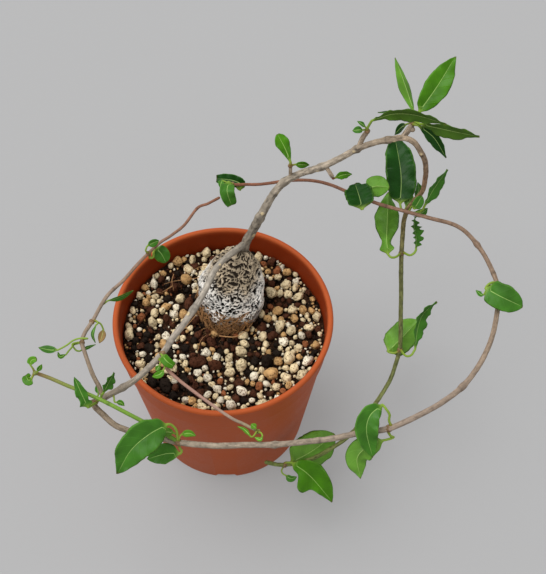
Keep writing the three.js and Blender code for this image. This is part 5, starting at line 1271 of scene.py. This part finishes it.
class PLANT_OT_roots(bpy.types.Operator):
    """Make the root fibres that hang on the caudex's foot and lie on the soil round it"""

    bl_idname = "potted_fockea.roots"
    bl_label = "Make the root fibres"

    def execute(self, context):
        rng = np.random.default_rng(23)
        made = Surfaces()
        for route, thick in LONG_ROOTS:
            fibre_surface(made, route, thick, linear(FIBRE_TONES["long"]) * rng.uniform(0.6, 1.0))
        for _ in range(looks().root_fibres):
            route = short_fibre(rng)
            thick = rng.uniform(0.13, 0.26)
            fibre_surface(made, route, thick, linear(FIBRE_TONES["short"]) * rng.uniform(0.25, 1.1))
        made.piece("root_fibres", bark_material("root fibre", 0.8, 0.1), None, "stem_bark")
        return {"FINISHED"}


class PLANT_OT_caudex(bpy.types.Operator):
    """Make the caudex, the swollen stem base with its crust of pale scales"""

    bl_idname = "potted_fockea.caudex"
    bl_label = "Make the caudex"

    def execute(self, context):
        place, ridge = caudex_surface()
        made = Surfaces()
        made.tube(place, tint=caudex_tint(place, ridge))
        made.piece("caudex_crust", crust_material(), "caudex", "caudex_bark")
        return {"FINISHED"}


class PLANT_OT_stems(bpy.types.Operator):
    """Make the woody stems, the vines and the two young shoots"""

    bl_idname = "potted_fockea.stems"
    bl_label = "Make the stems"

    def execute(self, context):
        kinds = {"bark": (bark_material("stem bark", 0.78, 0.16), "stem_bark"),
                 "green": (bark_material("green shoot", 0.5, 0.08), "green_shoot"),
                 "fine": (bark_material("fine shoot", 0.6, 0.1), "fine_shoot")}
        for name, stem in STEMS.items():
            made = Surfaces()
            stem_surface(made, stem)
            bark, slot = kinds[stem["colour"]]
            made.piece(name + "_bark", bark, name, slot)
        return {"FINISHED"}


class PLANT_OT_leaves(bpy.types.Operator):
    """Make every group of leaves with its stalks and the swollen node they grow from"""

    bl_idname = "potted_fockea.leaves"
    bl_label = "Make the leaves"

    def execute(self, context):
        blade = leaf_material()
        seed = 0
        for name, group in LEAVES.items():
            made = Surfaces()
            stem = STEMS[group["on"]]
            for each in group["leaves"]:
                seed += 1
                leaf_surface(made, stem, each, seed)
            if "knot" in group:
                at, radius = group["knot"]
                tint = linear(KNOT_TONES["woody" if stem["colour"] == "bark" else "green"])
                knot_surface(made, at, radius * KNOT_SHARE, seed, tint)
            made.piece(name + "_blades", blade, name, "leaf_blade")
        return {"FINISHED"}


class PLANT_OT_stage(bpy.types.Operator):
    """Make the pale floor, the soft studio light and the camera"""

    bl_idname = "potted_fockea.stage"
    bl_label = "Make the stage"

    def execute(self, context):
        self.floor()
        self.light(context.scene)
        self.camera(context.scene)
        context.scene.view_settings.view_transform = "Standard"
        return {"FINISHED"}

    def floor(self):
        """A wide round slab whose top is the plane that the pot stands on."""
        slab = Surfaces()
        a = circle(64)
        levels = np.array([[-FLOOR_THICKNESS], [0.0]])
        slab.tube(grid(FLOOR_RADIUS * np.cos(a), FLOOR_RADIUS * np.sin(a), levels))
        made, tree, shader, place = material("floor", 0.9, 0.1)
        colour = mottled(tree, place, (*looks().floor_colour, 1), 6.0, 300.0, 0.012)
        link(tree, shader, Base_Color=colour["Color"])
        shader.inputs["Emission Color"].default_value = (1, 1, 1, 1)
        shader.inputs["Emission Strength"].default_value = looks().floor_glow
        ground = slab.loose("floor")
        ground.data.materials.append(made)

    def light(self, scene):
        """A wide soft light from overhead, and a white surround that lights more than it shows."""
        sun = bpy.data.lights.new("soft overhead light", "SUN")
        sun.energy, sun.angle = looks().key_power, np.radians(50)
        lamp = bpy.data.objects.new("soft overhead light", sun)
        scene.collection.objects.link(lamp)
        lamp.rotation_euler = Vector((-0.4, 0.05, 1.0)).to_track_quat("Z", "Y").to_euler()
        scene.world = bpy.data.worlds.new("studio")
        scene.world.use_nodes = True
        tree = scene.world.node_tree
        lit = tree.nodes["Background"]
        lit.inputs["Color"].default_value = (1, 1, 1, 1)
        lit.inputs["Strength"].default_value = SURROUND_LIGHT
        seen = add(tree, "ShaderNodeBackground", {"Color": (1, 1, 1, 1), "Strength": SURROUND_SEEN})
        direct = add(tree, "ShaderNodeLightPath").outputs["Is Camera Ray"]
        both = add(tree, "ShaderNodeMixShader", {0: direct, 1: lit.outputs[0], 2: seen.outputs[0]}).outputs[0]
        link(tree, tree.nodes["World Output"], Surface=both)

    def camera(self, scene):
        """The camera that the pot's ellipses in the photo fit: turned down by the tilt, then rolled."""
        right, up = np.array([1.0, 0, 0]), np.array([0, np.sin(CAMERA_TILT), np.cos(CAMERA_TILT)])
        forward = np.array([0, np.cos(CAMERA_TILT), -np.sin(CAMERA_TILT)])
        c, s = np.cos(CAMERA_ROLL), np.sin(CAMERA_ROLL)
        pose = np.eye(4)
        pose[:3] = np.stack([c * right + s * up, c * up - s * right, -forward, CAMERA_PLACE], axis=1)
        camera = bpy.data.objects.new("camera", bpy.data.cameras.new("camera"))
        scene.collection.objects.link(camera)
        camera.matrix_world = Matrix(pose.tolist())
        camera.data.sensor_width, camera.data.lens = SENSOR_WIDTH, LENS
        camera.data.clip_start, camera.data.clip_end = 0.01, 20
        scene.camera = camera


class VIEW3D_PT_potted_fockea(bpy.types.Panel):
    """Lists the settings and the pieces in the sidebar"""

    bl_label = "Potted Fockea Edulis"
    bl_idname = "VIEW3D_PT_potted_fockea"
    bl_space_type = "VIEW_3D"
    bl_region_type = "UI"
    bl_category = "Potted Plant"

    def draw(self, context):
        for field in PottedFockeaSettings.__annotations__:
            self.layout.prop(context.scene.potted_fockea, field)
        for piece in PIECES:
            self.layout.operator(piece.bl_idname)


PIECES = (PLANT_OT_pot, PLANT_OT_soil, PLANT_OT_roots, PLANT_OT_caudex, PLANT_OT_stems, PLANT_OT_leaves,
          PLANT_OT_stage)
CLASSES = (PottedFockeaSettings, *PIECES, VIEW3D_PT_potted_fockea)


def register():
    for each in CLASSES:
        bpy.utils.register_class(each)
    bpy.types.Scene.potted_fockea = PointerProperty(type=PottedFockeaSettings)


def unregister():
    del bpy.types.Scene.potted_fockea
    for each in reversed(CLASSES):
        bpy.utils.unregister_class(each)


def main():
    """Makes the whole plant with its pot and stage."""
    register()
    for piece in PIECES:
        group, name = piece.bl_idname.split(".")
        getattr(getattr(bpy.ops, group), name)()


if __name__ == "__main__":
    main()
